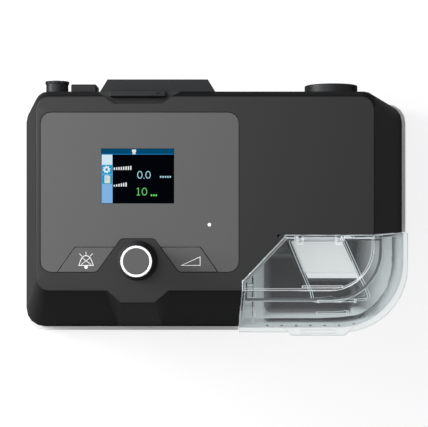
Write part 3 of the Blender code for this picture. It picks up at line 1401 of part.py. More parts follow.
def make_outlet(collar_material, port_material):
    """Hose outlet: the port that the hose pushes onto, inside a short collar on the rear wall."""
    start = HOSE_PORT_INSIDE
    end = COLLAR_LENGTH - HOSE_PORT_TAPER * 2
    bore = HOSE_PORT_RADIUS - HOSE_PORT_WALL
    profile = [
        (bore, end),
        (HOSE_PORT_RADIUS - HOSE_PORT_TAPER, end),
        (HOSE_PORT_RADIUS, 0),
        (HOSE_PORT_RADIUS, -start),
        (bore, -start),
    ]
    place = (OUTLET_X, WALL_REAR, REAR_PORT_LEVEL)
    part(turned("outlet_port", profile, place, "Y"), port_material)
    inner = COLLAR_RADIUS - COLLAR_WALL
    clear = HOSE_PORT_RADIUS + SEAT_GAP
    profile = [
        (clear, COLLAR_FLOOR),
        (inner, COLLAR_FLOOR),
        (inner, COLLAR_LENGTH),
        (COLLAR_RADIUS - COLLAR_EDGE, COLLAR_LENGTH),
        (COLLAR_RADIUS, COLLAR_LENGTH - COLLAR_EDGE),
        (COLLAR_RADIUS, 0),
        (clear, 0),
    ]
    part(turned("outlet_collar", profile, place, "Y"), collar_material)


def make_power_inlet(body_material, metal):
    """Power inlet: a flanged boss through the rear wall, with a coaxial jack inside it."""
    end = POWER_LENGTH - SEAT_GAP
    waist = POWER_RADIUS - POWER_WAIST
    bore = JACK_RADIUS + PIN_GAP
    profile = [
        (bore, end - JACK_RECESS),
        (bore + POWER_WAIST, end),
        (POWER_RADIUS, end),
        (POWER_RADIUS, end - POWER_RIM),
        (waist, end - POWER_RIM),
        (waist, 0),
        (POWER_SHANK_RADIUS, 0),
        (POWER_SHANK_RADIUS, -POWER_SHANK_LENGTH),
        (bore, -POWER_SHANK_LENGTH),
    ]
    place = (POWER_X, WALL_REAR, REAR_PORT_LEVEL)
    boss = part(turned("power_inlet_boss", profile, place, "Y"), body_material)
    rear = WALL_REAR + end + CUT_OVERRUN
    for side_x in (-1, 1):
        middle = POWER_X + side_x * POWER_NOTCH_OFFSET
        left, right = middle - POWER_NOTCH_WIDTH / 2, middle + POWER_NOTCH_WIDTH / 2
        inner = math.sqrt(waist**2 - POWER_NOTCH_OFFSET**2)
        for low, high in ((inner, POWER_RADIUS), (-POWER_RADIUS, -inner)):
            low_corner = (left, WALL_REAR + end - POWER_RIM, REAR_PORT_LEVEL + low)
            cut(boss, box("rim_notch", low_corner, (right, rear, REAR_PORT_LEVEL + high)))
    front = -POWER_SHANK_LENGTH - JACK_TAIL
    mouth = end - JACK_RECESS
    pin = JACK_PIN_RADIUS
    profile = [
        (0, mouth - JACK_RECESS),
        (pin, mouth - JACK_RECESS),
        (pin, JACK_FLOOR - SEAT_GAP),
        (JACK_BORE, JACK_FLOOR - SEAT_GAP),
        (JACK_BORE, mouth),
        (JACK_RADIUS, mouth),
        (JACK_RADIUS, front),
        (0, front),
    ]
    part(turned("power_jack", profile, place, "Y", closed=False), metal)


def make_data_port_cover(material):
    """A plug with a tongue that closes the data port, and pulls out to the rear."""
    low = PLUG_TOP_LEVEL - PLUG_HEIGHT
    half = PLUG_WIDTH / 2
    head = box(
        "data_port_cover",
        (PLUG_X - half, WALL_REAR, low),
        (PLUG_X + half, WALL_REAR + PLUG_THICK, PLUG_TOP_LEVEL),
    )
    round_edges(part(head, material), PLUG_EDGE)
    return join(head, plug_tongue("cover_tongue", 0, PLUG_TONGUE_LENGTH * 2))


def cover_bar_places():
    inset = COVER_WIDTH / 2 - COVER_LUG_INSET
    return (COVER_X - inset, COVER_X + inset)


def cover_pin_bar(name, radius, overrun=0):
    """The filter cover's hinge line as a round bar."""
    length = COVER_WIDTH - 2 * COVER_END_BEVEL + 2 * overrun
    return cylinder(name, radius, (COVER_X, COVER_PIN_Y, COVER_PIN_Z), length, "X", FINE_STEPS)


def cover_lugs():
    """Lugs on the rear wall that carry the filter cover's pin."""
    lugs = []
    for x in cover_bar_places():
        low = (x - COVER_LUG_WIDTH / 2, BASE_REAR - CASE_WALL / 2, COVER_PIN_Z - COVER_LUG_HALF)
        high = (x + COVER_LUG_WIDTH / 2, COVER_PIN_Y, COVER_PIN_Z + COVER_LUG_HALF)
        middle = (x, COVER_PIN_Y, COVER_PIN_Z)
        eye = cylinder("lug_eye", COVER_KNUCKLE_RADIUS, middle, COVER_LUG_WIDTH, "X", FINE_STEPS)
        lugs += [box("cover_lug", low, high), eye]
    return lugs


def cover_outline(wall):
    """The filter cover in plan: bevelled ends, moved in by a wall."""
    half = COVER_WIDTH / 2
    rear = WALL_REAR + COVER_THICK
    corners = [
        (COVER_X - half, WALL_REAR),
        (COVER_X + half, WALL_REAR),
        (COVER_X + half - COVER_END_BEVEL, rear),
        (COVER_X - half + COVER_END_BEVEL, rear),
    ]
    return offset(corners, -wall)


def make_filter_cover(material, steel):
    """Louvred cover over the air filter, hinged along its lower edge."""
    cover = part(plate("filter_cover", cover_outline(0), COVER_BOTTOM, COVER_TOP_LEVEL), material)
    pin_drop = COVER_PIN_FROM_WALL
    corner_low = (COVER_X - COVER_WIDTH, WALL_REAR - CUT_OVERRUN, COVER_BOTTOM - CUT_OVERRUN)
    corner_high = (COVER_X + COVER_WIDTH, WALL_REAR + pin_drop, COVER_BOTTOM + pin_drop)
    cut(cover, box("cover_corner", corner_low, corner_high))
    room = cover_outline(COVER_WALL)
    inner = plate("cover_hollow", room, COVER_BOTTOM + COVER_WALL, COVER_TOP_LEVEL - COVER_WALL)
    mouth_low = (COVER_X - COVER_WIDTH / 2 + COVER_WALL, WALL_REAR - CUT_OVERRUN, COVER_BOTTOM + COVER_WALL)
    mouth_high = (
        COVER_X + COVER_WIDTH / 2 - COVER_WALL,
        WALL_REAR + COVER_WALL * 2,
        COVER_TOP_LEVEL - COVER_WALL,
    )
    cut(cover, inner, box("cover_mouth", mouth_low, mouth_high))
    join(cover, cover_pin_bar("cover_barrel", pin_drop - PIN_GAP))
    reach = COVER_KNUCKLE_RADIUS * 2
    for x in cover_bar_places():
        half = COVER_LUG_WIDTH / 2 + HINGE_SIDE_GAP
        low = (x - half, WALL_REAR - CUT_OVERRUN, COVER_BOTTOM - CUT_OVERRUN)
        high = (x + half, COVER_PIN_Y + reach, COVER_PIN_Z + reach)
        cut(cover, box("lug_slot", low, high))
    cut(cover, cover_pin_bar("barrel_bore", COVER_PIN_RADIUS + PIN_GAP, CUT_OVERRUN), *louvres())
    return part(cover_pin_bar("cover_hinge_pin", COVER_PIN_RADIUS), steel)


def louvres():
    """Level slots through the cover's rear face."""
    half = COVER_WIDTH / 2 - COVER_END_BEVEL - LOUVRE_MARGIN
    start = COVER_TOP_LEVEL - LOUVRE_MARGIN
    slots = []
    for i in range(LOUVRE_COUNT):
        high = start - i * LOUVRE_PITCH
        low = (COVER_X - half, WALL_REAR + COVER_THICK - COVER_WALL - CUT_OVERRUN, high - LOUVRE_GAP)
        slots.append(box("louvre", low, (COVER_X + half, WALL_REAR + COVER_THICK + CUT_OVERRUN, high)))
    return slots


def make_air_intake(filter_material, plenum_material):
    """The filter in the rear wall's window, and the plenum that holds it from inside."""
    wall_inside = BASE_REAR - CASE_WALL - SEAT_GAP
    front = wall_inside - PLENUM_DEPTH
    plenum = part(window_box("inlet_plenum", PLENUM_WALL, front, wall_inside), plenum_material)
    cut(plenum, window_box("plenum_hollow", 0, front + PLENUM_WALL, wall_inside + CUT_OVERRUN))
    middle = (COVER_X, front, BLOWER_TOP)
    cut(plenum, cylinder("plenum_way", BLOWER_INLET_RADIUS, middle, PLENUM_WALL * 4, "Y"))
    rear = BASE_REAR - SEAT_GAP
    part(window_box("air_filter", -SEAT_GAP, rear - FILTER_THICK, rear), filter_material)


def make_blower(lower_material, upper_material, metal, rotor_material, rubber):
    """Blower: a two-part scroll housing on rubber mounts, its motor, and an impeller with swept blades."""
    place = (BLOWER_X, BLOWER_Y, BLOWER_BOTTOM)
    outer = BLOWER_RADIUS
    inner = BLOWER_RADIUS - BLOWER_WALL
    high = BLOWER_LOWER_HEIGHT
    cup = [(0, BLOWER_WALL), (inner, BLOWER_WALL), (inner, high), (outer, high), (outer, 0), (0, 0)]
    lower = part(turned("blower_lower_housing", cup, place, steps=KNOB_STEPS, closed=False), lower_material)
    level = BLOWER_BOTTOM + BLOWER_OUTLET_LEVEL
    y = BLOWER_Y + BLOWER_OUTLET_OFFSET
    middle = (BLOWER_X + BLOWER_OUTLET_REACH / 2, y, level)
    join(lower, cylinder("outlet_tube", DUCT_RADIUS, middle, BLOWER_OUTLET_REACH, "X"))
    bore_middle = (BLOWER_X + BLOWER_OUTLET_REACH, y, level)
    cut(lower, cylinder("outlet_bore", DUCT_RADIUS - DUCT_WALL, bore_middle, BLOWER_OUTLET_REACH * 2, "X"))
    chamber = [(0, high + CUT_OVERRUN), (inner, high + CUT_OVERRUN), (inner, BLOWER_WALL), (0, BLOWER_WALL)]
    cut(lower, turned("chamber", chamber, place, steps=KNOB_STEPS, closed=False))
    start = high + SEAT_GAP
    roof = start + BLOWER_UPPER_HEIGHT
    hole = BLOWER_INLET_RADIUS
    lid = [
        (hole, roof + BLOWER_WALL),
        (hole + BLOWER_WALL, roof + BLOWER_WALL),
        (hole + BLOWER_WALL, roof),
        (outer - BLOWER_WALL, roof),
        (outer, roof - BLOWER_WALL),
        (outer, start),
        (inner, start),
        (inner, roof - BLOWER_WALL),
        (hole, roof - BLOWER_WALL),
    ]
    part(turned("blower_upper_housing", lid, place, steps=KNOB_STEPS), upper_material)
    motor_low = BLOWER_WALL + SEAT_GAP
    motor_high = motor_low + MOTOR_HEIGHT
    bore = SHAFT_RADIUS + PIN_GAP
    motor = [(bore, motor_high), (MOTOR_RADIUS, motor_high), (MOTOR_RADIUS, motor_low), (bore, motor_low)]
    part(turned("blower_motor", motor, place), metal)
    shaft_low = BLOWER_BOTTOM + motor_low + SHAFT_FOOT
    middle = (BLOWER_X, BLOWER_Y, shaft_low + SHAFT_LENGTH / 2)
    part(cylinder("motor_shaft", SHAFT_RADIUS, middle, SHAFT_LENGTH, steps=FINE_STEPS), metal)
    make_impeller(motor_high + SLIDE_GAP * 2, rotor_material)
    for i in range(MOUNT_COUNT):
        turn = 2 * math.pi * (i + 1 / 4) / MOUNT_COUNT
        x = BLOWER_X + MOUNT_CIRCLE * math.cos(turn)
        y = BLOWER_Y + MOUNT_CIRCLE * math.sin(turn)
        low = TRAY_TOP_FLOOR + SEAT_GAP
        height = BLOWER_BOTTOM - SEAT_GAP - low
        middle = (x, y, low + height / 2)
        mount = cylinder(f"blower_mount_{i + 1}", MOUNT_RADIUS, middle, height, steps=FINE_STEPS)
        part(mount, rubber)


def make_impeller(start, material):
    """Centrifugal impeller: a disc, a bored hub and blades swept back against the turn."""
    place = (BLOWER_X, BLOWER_Y, BLOWER_BOTTOM + start)
    bore = SHAFT_RADIUS + PIN_GAP
    disc = [
        (bore, IMPELLER_HEIGHT),
        (IMPELLER_HUB_RADIUS, IMPELLER_HEIGHT),
        (IMPELLER_HUB_RADIUS, IMPELLER_DISC),
        (IMPELLER_RADIUS, IMPELLER_DISC),
        (IMPELLER_RADIUS, 0),
        (bore, 0),
    ]
    rotor = part(turned("impeller", disc, place, steps=KNOB_STEPS), material)
    low = place[2] + IMPELLER_DISC / 2
    for i in range(BLADE_COUNT):
        outline = blade_outline(2 * math.pi * i / BLADE_COUNT)
        join(rotor, plate("blade", outline, low, place[2] + IMPELLER_HEIGHT - IMPELLER_DISC))


def blade_outline(start):
    """One blade in plan, swept from the hub to the rim."""
    inner = IMPELLER_HUB_RADIUS - BLADE_THICK
    outer = IMPELLER_RADIUS - BLADE_THICK / 2
    sides = []
    for side in (-1, 1):
        line = []
        for i in range(BLADE_STEPS + 1):
            share = i / BLADE_STEPS
            radius = inner + (outer - inner) * share
            turn = start - BLADE_SWEEP * share + side * BLADE_THICK / (2 * radius)
            line.append((BLOWER_X + radius * math.cos(turn), BLOWER_Y + radius * math.sin(turn)))
        sides.append(line)
    return sides[0] + sides[1][::-1]


def bezier_point(points, share):
    """A point on the smooth curve that four points steer."""
    rest = 1 - share
    weights = (rest**3, 3 * rest**2 * share, 3 * rest * share**2, share**3)
    return sum((Vector(point) * weight for point, weight in zip(points, weights)), Vector())


def tube(name, route, radius):
    curve = bpy.data.curves.new(name, "CURVE")
    curve.dimensions = "3D"
    curve.bevel_depth = radius
    curve.bevel_resolution = DUCT_SIDES
    curve.use_fill_caps = True
    spline = curve.splines.new("POLY")
    spline.points.add(len(route) - 1)
    for point, place in zip(spline.points, route):
        point.co = (*place, 1)
    return meshed(curve, Matrix.Identity(4), name)


def make_duct(name, route, material):
    """A tube with its bore cut out, open at both ends."""
    duct = part(tube(name, route, DUCT_RADIUS), material)
    ahead = (route[0] - route[1]).normalized() * CUT_OVERRUN
    behind = (route[-1] - route[-2]).normalized() * CUT_OVERRUN
    bore = [route[0] + ahead] + route[1:-1] + [route[-1] + behind]
    return cut(duct, tube(name + "_bore", bore, DUCT_RADIUS - DUCT_WALL))


def duct_route(start, way_in, end, way_out, pull):
    """A smooth route between two openings, straight for a short run at each end."""
    first = start + way_in * DUCT_LEAD
    last = end - way_out * DUCT_LEAD
    steer = (first, first + way_in * pull, last - way_out * pull, last)
    return [start] + [bezier_point(steer, i / DUCT_STEPS) for i in range(DUCT_STEPS + 1)] + [end]


def make_ducts(material):
    """The air ducts: from the blower into the tank, and from the tank out to the hose port."""
    liner_rear = BAY_REAR + LINER_WALL + SEAT_GAP
    across = Vector((1, 0, 0))
    along = Vector((0, 1, 0))
    start_x = BLOWER_X + BLOWER_OUTLET_REACH + SEAT_GAP
    start = Vector((start_x, BLOWER_Y + BLOWER_OUTLET_OFFSET, DUCT_START_LEVEL))
    end = Vector((INLET_PORT_X, liner_rear, PORT_Z))
    pull = (end.x - start.x) * DUCT_PULL_SHARE
    make_duct("blower_duct", duct_route(start, across, end, -along, pull), material)
    start = Vector((OUTLET_PORT_X, liner_rear, PORT_Z))
    end = Vector((OUTLET_X, WALL_REAR - HOSE_PORT_INSIDE - SEAT_GAP, REAR_PORT_LEVEL))
    pull = (end.y - start.y) * OUTLET_PULL_SHARE
    make_duct("outlet_duct", duct_route(start, along, end, along, pull), material)


def make_main_board(board_material):
    """Main circuit board on its posts, with the tall parts that it carries."""
    left = AXIS_X + MAIN_BOARD_LEFT_FROM_AXIS
    rear = BASE_REAR - MAIN_BOARD_FROM_REAR
    low = TRAY_TOP_FLOOR + POST_HEIGHT + SEAT_GAP
    high = low + BOARD_THICK
    board = box("main_board", (left, rear - MAIN_BOARD_DEPTH, low), (left + MAIN_BOARD_WIDTH, rear, high))
    part(board, board_material)
    for x_share, y_share, radius, height in COMPONENT_SHARES:
        x = left + MAIN_BOARD_WIDTH * x_share
        y = rear - MAIN_BOARD_DEPTH * y_share
        tall = COMPONENT_HEIGHT * height
        middle = (x, y, high + tall / 2 - BOARD_THICK / 2)
        join(board, cylinder("capacitor", COMPONENT_RADIUS * radius, middle, tall, steps=FINE_STEPS))
    return board


def build():
    global cutters, solids
    clear_scene()
    solids = new_collection("breathing_machine")
    cutters = new_collection("cutters")
    shell = finish_material("dark_shell", (0.028, 0.029, 0.031), 0.45)
    field = finish_material("gray_panel", (0.133, 0.133, 0.135), 0.5)
    tray = finish_material("light_gray_tray", (0.40, 0.41, 0.42), 0.5)
    trim = finish_material("dark_gray_trim", (0.06, 0.06, 0.063), 0.5)
    clear = finish_material("clear_tank", (0.75, 0.80, 0.82), 0.1, alpha=0.4)
    frosted = finish_material("frosted_plastic", (0.72, 0.73, 0.74), 0.5)
    glass = finish_material("display_glass", (0.006, 0.008, 0.010), 0.1)
    white = finish_material("white_plastic", (0.86, 0.86, 0.85), 0.4)
    rubber = finish_material("gray_rubber", (0.09, 0.09, 0.09), 0.8)
    steel = finish_material("steel", (0.55, 0.55, 0.56), 0.3, metallic=1.0)
    circuit = finish_material("circuit_board", (0.01, 0.10, 0.04), 0.5)
    foam = finish_material("filter_foam", (0.60, 0.62, 0.64), 0.9)

    make_top_shell(shell)
    make_base_tray(tray)
    make_feet(rubber)
    make_case_screws(steel)
    make_control_panel(field)
    make_display(glass, trim)
    make_status_light(white)
    make_control_board(circuit)
    make_button("mute", -1, field, trim)
    make_button("ramp", 1, field, trim)
    make_encoder(trim, steel)
    make_knob(shell, white, field)
    make_dock(trim, steel, rubber, rubber)
    make_tank_tub(clear)
    make_tank_lid(clear)
    make_tank_fittings(rubber, steel, clear, frosted)
    make_outlet(shell, trim)
    make_power_inlet(shell, steel)
    make_data_port_cover(shell)
    make_wireless_module(shell)
    make_filter_cover(shell, steel)
    make_air_intake(foam, trim)
    make_blower(trim, trim, steel, white, rubber)
    make_ducts(trim)
    make_main_board(circuit)


build()
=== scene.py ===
"""Looks of a bedside breathing machine with a clear water tank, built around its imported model.

Every size is in metres. The camera looks straight down on the control panel, and lies about 0.9 m above the table.
"""

import json
import math

import bmesh
import bpy
from bpy.props import FloatProperty, FloatVectorProperty, PointerProperty
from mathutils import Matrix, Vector

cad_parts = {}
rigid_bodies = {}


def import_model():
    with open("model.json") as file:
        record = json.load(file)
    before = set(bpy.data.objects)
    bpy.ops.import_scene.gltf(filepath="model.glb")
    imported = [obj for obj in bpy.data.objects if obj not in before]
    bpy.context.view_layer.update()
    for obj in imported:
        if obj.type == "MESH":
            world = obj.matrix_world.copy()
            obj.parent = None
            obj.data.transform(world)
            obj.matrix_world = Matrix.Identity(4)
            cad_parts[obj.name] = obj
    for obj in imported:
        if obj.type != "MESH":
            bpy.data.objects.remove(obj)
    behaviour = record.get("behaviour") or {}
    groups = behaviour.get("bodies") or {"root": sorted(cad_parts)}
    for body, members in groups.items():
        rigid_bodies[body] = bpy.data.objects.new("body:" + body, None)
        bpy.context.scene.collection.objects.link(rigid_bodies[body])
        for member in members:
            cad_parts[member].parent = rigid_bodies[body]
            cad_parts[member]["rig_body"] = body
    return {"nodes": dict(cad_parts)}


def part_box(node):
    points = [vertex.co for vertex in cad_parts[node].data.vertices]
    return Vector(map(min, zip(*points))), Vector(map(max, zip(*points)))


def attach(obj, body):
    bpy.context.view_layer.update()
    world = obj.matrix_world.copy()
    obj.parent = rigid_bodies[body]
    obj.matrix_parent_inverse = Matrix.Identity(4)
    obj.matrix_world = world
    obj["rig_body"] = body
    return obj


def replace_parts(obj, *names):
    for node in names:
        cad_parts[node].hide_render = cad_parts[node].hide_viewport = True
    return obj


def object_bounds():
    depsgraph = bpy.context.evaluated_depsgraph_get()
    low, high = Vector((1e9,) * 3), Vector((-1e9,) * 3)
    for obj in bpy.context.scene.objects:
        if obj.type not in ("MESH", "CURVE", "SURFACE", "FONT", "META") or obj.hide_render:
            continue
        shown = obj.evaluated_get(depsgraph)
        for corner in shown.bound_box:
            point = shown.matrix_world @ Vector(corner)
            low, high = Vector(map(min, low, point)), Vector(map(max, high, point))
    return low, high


bl_info = {
    "name": "Breathing machine looks",
    "version": (1, 0, 0),
    "blender": (4, 5, 0),
    "location": "View3D > Sidebar > Breathing Machine",
    "description": "Builds the visible surfaces of a bedside breathing machine around its packed model",
    "category": "Object",
}

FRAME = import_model()
CAD_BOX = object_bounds()
NODES = FRAME["nodes"]
MM = 0.001


def node_box(name):
    low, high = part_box(name)
    return Vector(low), Vector(high)


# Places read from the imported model
WINDOW_LOW, WINDOW_HIGH = node_box("display_window")
PANEL_FRONT = node_box("control_panel")[0].y
KNOB_LOW, KNOB_HIGH = node_box("knob_body")
KNOB_X = (KNOB_LOW.x + KNOB_HIGH.x) / 2
FINISHES = {}

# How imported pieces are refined: corners nearer than this are joined, and the angles in degrees under which faces
# count as one and past which an edge is rounded
WELD = 0.002 * MM
FLAT_ANGLE = 0.5
BEVEL_ANGLE = 32

# How far a stroke's corner may reach: the least cosine that its half width is divided by
MITRE_LIMIT = 0.3

# How large the patches are in which a moulded colour drifts
DRIFT_SIZE = 60 * MM

# Where a grained surface starts to lose its gloss and has lost it, as shares of the way from face-on to edge-on
GLANCE_START = 0.1
GLANCE_END = 0.45

# Share of a sheet's half width at which its paler rim starts: painted light for the bright edge of the tank's floor
LIT_RIM_START = 0.8

# Clear plastic: its mirrored share face-on and edge-on, the cosine under which light is held inside a wall,
# and the share of the light that passes it towards what lies in its shadow
CLEAR_SHINE = (0.02, 0.035)
CLEAR_CRITICAL = 0.725
CLEAR_TO_SHADOW = 0.9

# How strongly each finish glows: the screen and the light guide are lit from within, while the glows of the edge
# lines, the frosted plastic, the floor haze and the ink are painted light
EDGE_HIGHLIGHT_GLOW = 0.15
FROSTED_PAINTED_GLOW = 0.12
HAZE_PAINTED_GLOW = 0.2
GUIDE_GLOW = 0.25
INK_PAINTED_GLOW = 0.15
SCREEN_GLOW = 1.0

# Button symbols: the bell's points, cross and rays are shares of its half width and its height
MUTE_OFFSET = 35 * MM
SYMBOL_RISE = 4.4 * MM
BELL_HALF = 4.9 * MM
BELL_HEIGHT = 6.7 * MM
BELL_SHARES = ((-1, 0), (-0.8, 0.42), (-0.62, 0.72), (-0.32, 0.93), (0, 1))
BELL_CROSS = ((0.68, 0.08), (0.5, 0.74))
BELL_RAYS = ((-1, 0.92, 1.2), (0, 1.05, 1.38), (1, 0.92, 1.2))
RAY_SPREAD = (0.55, 0.93)
THIN_STROKE = 0.8
CLAPPER_RADIUS = 1.15 * MM
RAMP_OFFSET = 29.8 * MM
WEDGE_WIDTH = 12.6 * MM
WEDGE_HEIGHT = 5.8 * MM

SCREEN_COLOURS = (
    ("screen_bar", 0x00496F),
    ("screen_line", 0x2272AC),
    ("screen_side", 0x7DB2E2),
    ("screen_pale", 0xD0E8F0),
    ("screen_tile", 0x139AC9),
    ("screen_white", 0xE8ECEE),
    ("screen_yellow", 0xE9D98A),
    ("screen_cyan", 0xA9DDE4),
    ("screen_green", 0x6CDB70),
)

# Screen marks: a box is its left, top, right and bottom, as shares of the screen counted from its upper left
# corner. A bar has its name, finish, layer and boxes.
SCREEN_BARS = (
    ("screen_top_bar", "screen_bar", 1, ((0, 0, 1, 0.104),)),
    ("screen_bar_edge", "screen_line", 2, ((0, 0.09, 1, 0.104),)),
    ("screen_side_bar", "screen_side", 1, ((0, 0.104, 0.152, 1),)),
    ("screen_first_tile", "screen_pale", 2, ((0.004, 0.107, 0.148, 0.291),)),
    ("screen_tiles", "screen_tile", 2, ((0.007, 0.3, 0.146, 0.466), (0.007, 0.479, 0.146, 0.646))),
    ("screen_status", "screen_white", 2, ((0.4216, 0.012, 0.478, 0.055), (0.43, 0.06, 0.47, 0.1))),
)
# A plain page with a coloured edge, on the third tile
PAGE_BARS = (
    ("screen_page", "screen_white", 3, ((0.042, 0.49, 0.1, 0.625),)),
    ("screen_page_edge", "screen_yellow", 4, ((0.1, 0.5, 0.118, 0.632), (0.05, 0.615, 0.118, 0.632))),
    ("screen_page_lines", "screen_side", 4,
     tuple((0.05, top, 0.092, top + 0.012) for top in (0.51, 0.535, 0.56, 0.585))),
)
# A row of ticks has its name, base line, shortest tick, rise from tick to tick and count
TICK_ROWS = (
    ("screen_level_ticks", 0.388, 0.045, 0.004, 8),
    ("screen_ramp_ticks", 0.694, 0.03, 0.009, 6),
)
TICK_LEFT = 0.168
TICK_PITCH = 0.0325
TICK_WIDTH = 0.018
# A row of dots has its name, finish, left, top and count
DOT_ROWS = (
    ("screen_level_dots", "screen_cyan", 0.81, 0.5, 5),
    ("screen_ramp_dots", "screen_green", 0.682, 0.84, 3),
)
DOT_PITCH = 0.033
DOT_WIDTH = 0.02
DOT_DEPTH = 0.032
# A reading has its name, finish, top, bottom and figures, each with its left and right
READINGS = (
    ("screen_level", "screen_cyan", 0.408, 0.5485,
     (("0", 0.4945, 0.567), (".", 0.5805, 0.5945), ("0", 0.608, 0.6805))),
    ("screen_minutes", "screen_green", 0.7165, 0.859, (("1", 0.484, 0.538), ("0", 0.557, 0.631))),
)
FIGURE_PEN = 0.5 * MM
GEAR_CENTRE = (0.07, 0.38)
GEAR_LAYER = 3
GEAR_RADIUS = 2.6 * MM
GEAR_ROOT = 0.74
GEAR_HOLE = 0.36
GEAR_TEETH = 8
TOOTH_STEPS = 4

# Milky sheet in the tank's floor, which glows a little as painted light for the pale band along the walls: each
# ramp is an axis, the place where it is clear and the place where it is full
HAZE_RAMPS = ((0, 42 * MM, 34 * MM), (0, 104 * MM, 134 * MM), (1, -71 * MM, -80 * MM))
HAZE_DENSITY = 0.88
FLOOR_LOW = 12.5 * MM
FLOOR_HIGH = 12.7 * MM
FLOOR_LEFT, FLOOR_REAR = 18.3 * MM, -16.8 * MM
FLOOR_DIAGONAL = ((47.4 * MM, -16.8 * MM), (18.3 * MM, -47.4 * MM))
FLOOR_FRONT = -88.3 * MM
FLOOR_RIGHT = 143.1 * MM

# Front rim of the deflector: how far its sides run to the right for each length to the front, where it starts, how
# wide and how high it is, and the rear, front and finish of each strip
RIM_SLANT = 22.2 / 47.5
RIM_REAR_LEFT = 65.2 * MM
RIM_WIDTH = 37.2 * MM
# The dark strip along the rim's front edge is painted shade for the shadow gap there
RIM_LEVELS = ((-44.3 * MM, -48.3 * MM, "frosted_polycarbonate"), (-48.3 * MM, -50.6 * MM, "liner_pp"))
RIM_LOW, RIM_HIGH = 50.2 * MM, 51.6 * MM

# Painted highlights, as glowing white lines inside the clear pieces: each piece with the share of the set radius,
# the angle in degrees past which an edge counts as sharp, and how many radii a line lies under its edge
HIGHLIGHT_PIECES = (("tank_tub", 1), ("tank_lid", 1), ("tank_air_guide", 1.9))
HIGHLIGHT_ANGLE = 32
LINE_DEPTH = 1.6

# Marks at the tank's foot: gray studs, and short ribs that glow white as painted highlights
FOOT_LEVEL = 16 * MM
FOOT_STUDS = (39 * MM, 104.5 * MM)
FOOT_STUD_Y = -84.2 * MM
STUD_SIZE = (1.5 * MM, 1.2 * MM, 2.4 * MM)
RIB_ARC = (-74, 4)
RIB_SIZE = (3.6 * MM, 0.5 * MM, 0.8 * MM)
CORNER_CENTRE = (92.1 * MM, -37.3 * MM)
CORNER_RADIUS = 49 * MM

# Camera, as the photograph was taken
CAMERA_PLACE = (-1.5 * MM, -1.1 * MM, 900 * MM)
SENSOR_WIDTH = 36
LENS = 97.7

# Lamps: name, place, size and power
LAMPS = (
    ("overhead", (-0.4, 0.22, 1.2), 0.8, 5.9),
    ("side", (-1.0, 0.3, 0.3), 0.6, 27),
)
# How much light the white surroundings give
WORLD_LEVEL = 0.28
# White sweep under the machine: half its width, its paper, and how far it is lifted where it is seen
SWEEP_HALF = 3
SWEEP_PAPER = 0x808080
SWEEP_LIFT = 0.8


class MachineColours(bpy.types.PropertyGroup):
    """Colours of the moulded parts, as sRGB values that each material turns to linear."""

    shell: FloatVectorProperty(name="Shell", description="Black upper casing", subtype="COLOR_GAMMA",
                               default=(0.098, 0.099, 0.102))
    panel: FloatVectorProperty(name="Panel", description="Gray control panel and buttons", subtype="COLOR_GAMMA",
                               default=(0.386, 0.386, 0.387))
    tray: FloatVectorProperty(name="Tray", description="Light gray base tray", subtype="COLOR_GAMMA",
                              default=(0.85, 0.85, 0.85))
    ink: FloatVectorProperty(name="Ink", description="Printed symbols of the buttons", subtype="COLOR_GAMMA",
                             default=(0.95, 0.95, 0.95))


class MachineSizes(bpy.types.PropertyGroup):
    """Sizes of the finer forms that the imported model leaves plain."""

    edge: FloatProperty(name="Edge", description="Radius of the moulded edges", unit="LENGTH", default=0.35 * MM)
    print_lift: FloatProperty(name="Print lift", description="Height of a printed mark", unit="LENGTH",
                              default=0.03 * MM)
    line: FloatProperty(name="Line", description="Stroke of the button symbols", unit="LENGTH", default=0.45 * MM)
    # The lines inside the clear edges glow white: they are painted highlights
    highlight_line: FloatProperty(name="Edge line", description="Radius of the bright lines inside clear edges",
                             unit="LENGTH", default=0.14 * MM)
    stud_pitch: FloatProperty(name="Stud pitch", description="Spacing of the studs behind the tank's front wall",
                              unit="LENGTH", default=10.9 * MM)
    rib_pitch: FloatProperty(name="Rib pitch", description="Spacing of the short ribs round the tank's foot",
                             unit="LENGTH", default=7.2 * MM)


def colours():
    return bpy.context.scene.machine_colours


def sizes():
    return bpy.context.scene.machine_sizes


def linear(colour):
    """Linear RGBA from an sRGB hex value such as 0x66686B, or from three sRGB shares."""
    if isinstance(colour, int):
        colour = ((colour >> 16 & 255) / 255, (colour >> 8 & 255) / 255, (colour & 255) / 255)
    channels = [c / 12.92 if c <= 0.04045 else ((c + 0.055) / 1.055) ** 2.4 for c in colour]
    return (*channels, 1.0)


def scaled(colour, share):
    """A darker or lighter linear colour, up to white."""
    return tuple(min(1.0, channel * share) for channel in colour[:3]) + (1.0,)


def add(tree, kind, settings=None, **links):
    """Adds a node, sets its properties, and sets or links its sockets, each by label or as i with its number."""
    made = tree.nodes.new(kind)
    for name, value in (settings or {}).items():
        setattr(made, name, value)
    for name, value in links.items():
        numbered = name[0] == "i" and name[1:].isdigit()
        socket = made.inputs[int(name[1:]) if numbered else name.replace("_", " ")]
        if isinstance(value, bpy.types.NodeSocket):
            tree.links.new(value, socket)
        else:
            socket.default_value = value
    return made


def new_material(name):
    made = bpy.data.materials.new(name)
    made.use_nodes = True
    tree = made.node_tree
    tree.nodes.clear()
    output = tree.nodes.new("ShaderNodeOutputMaterial")
    return made, tree, output


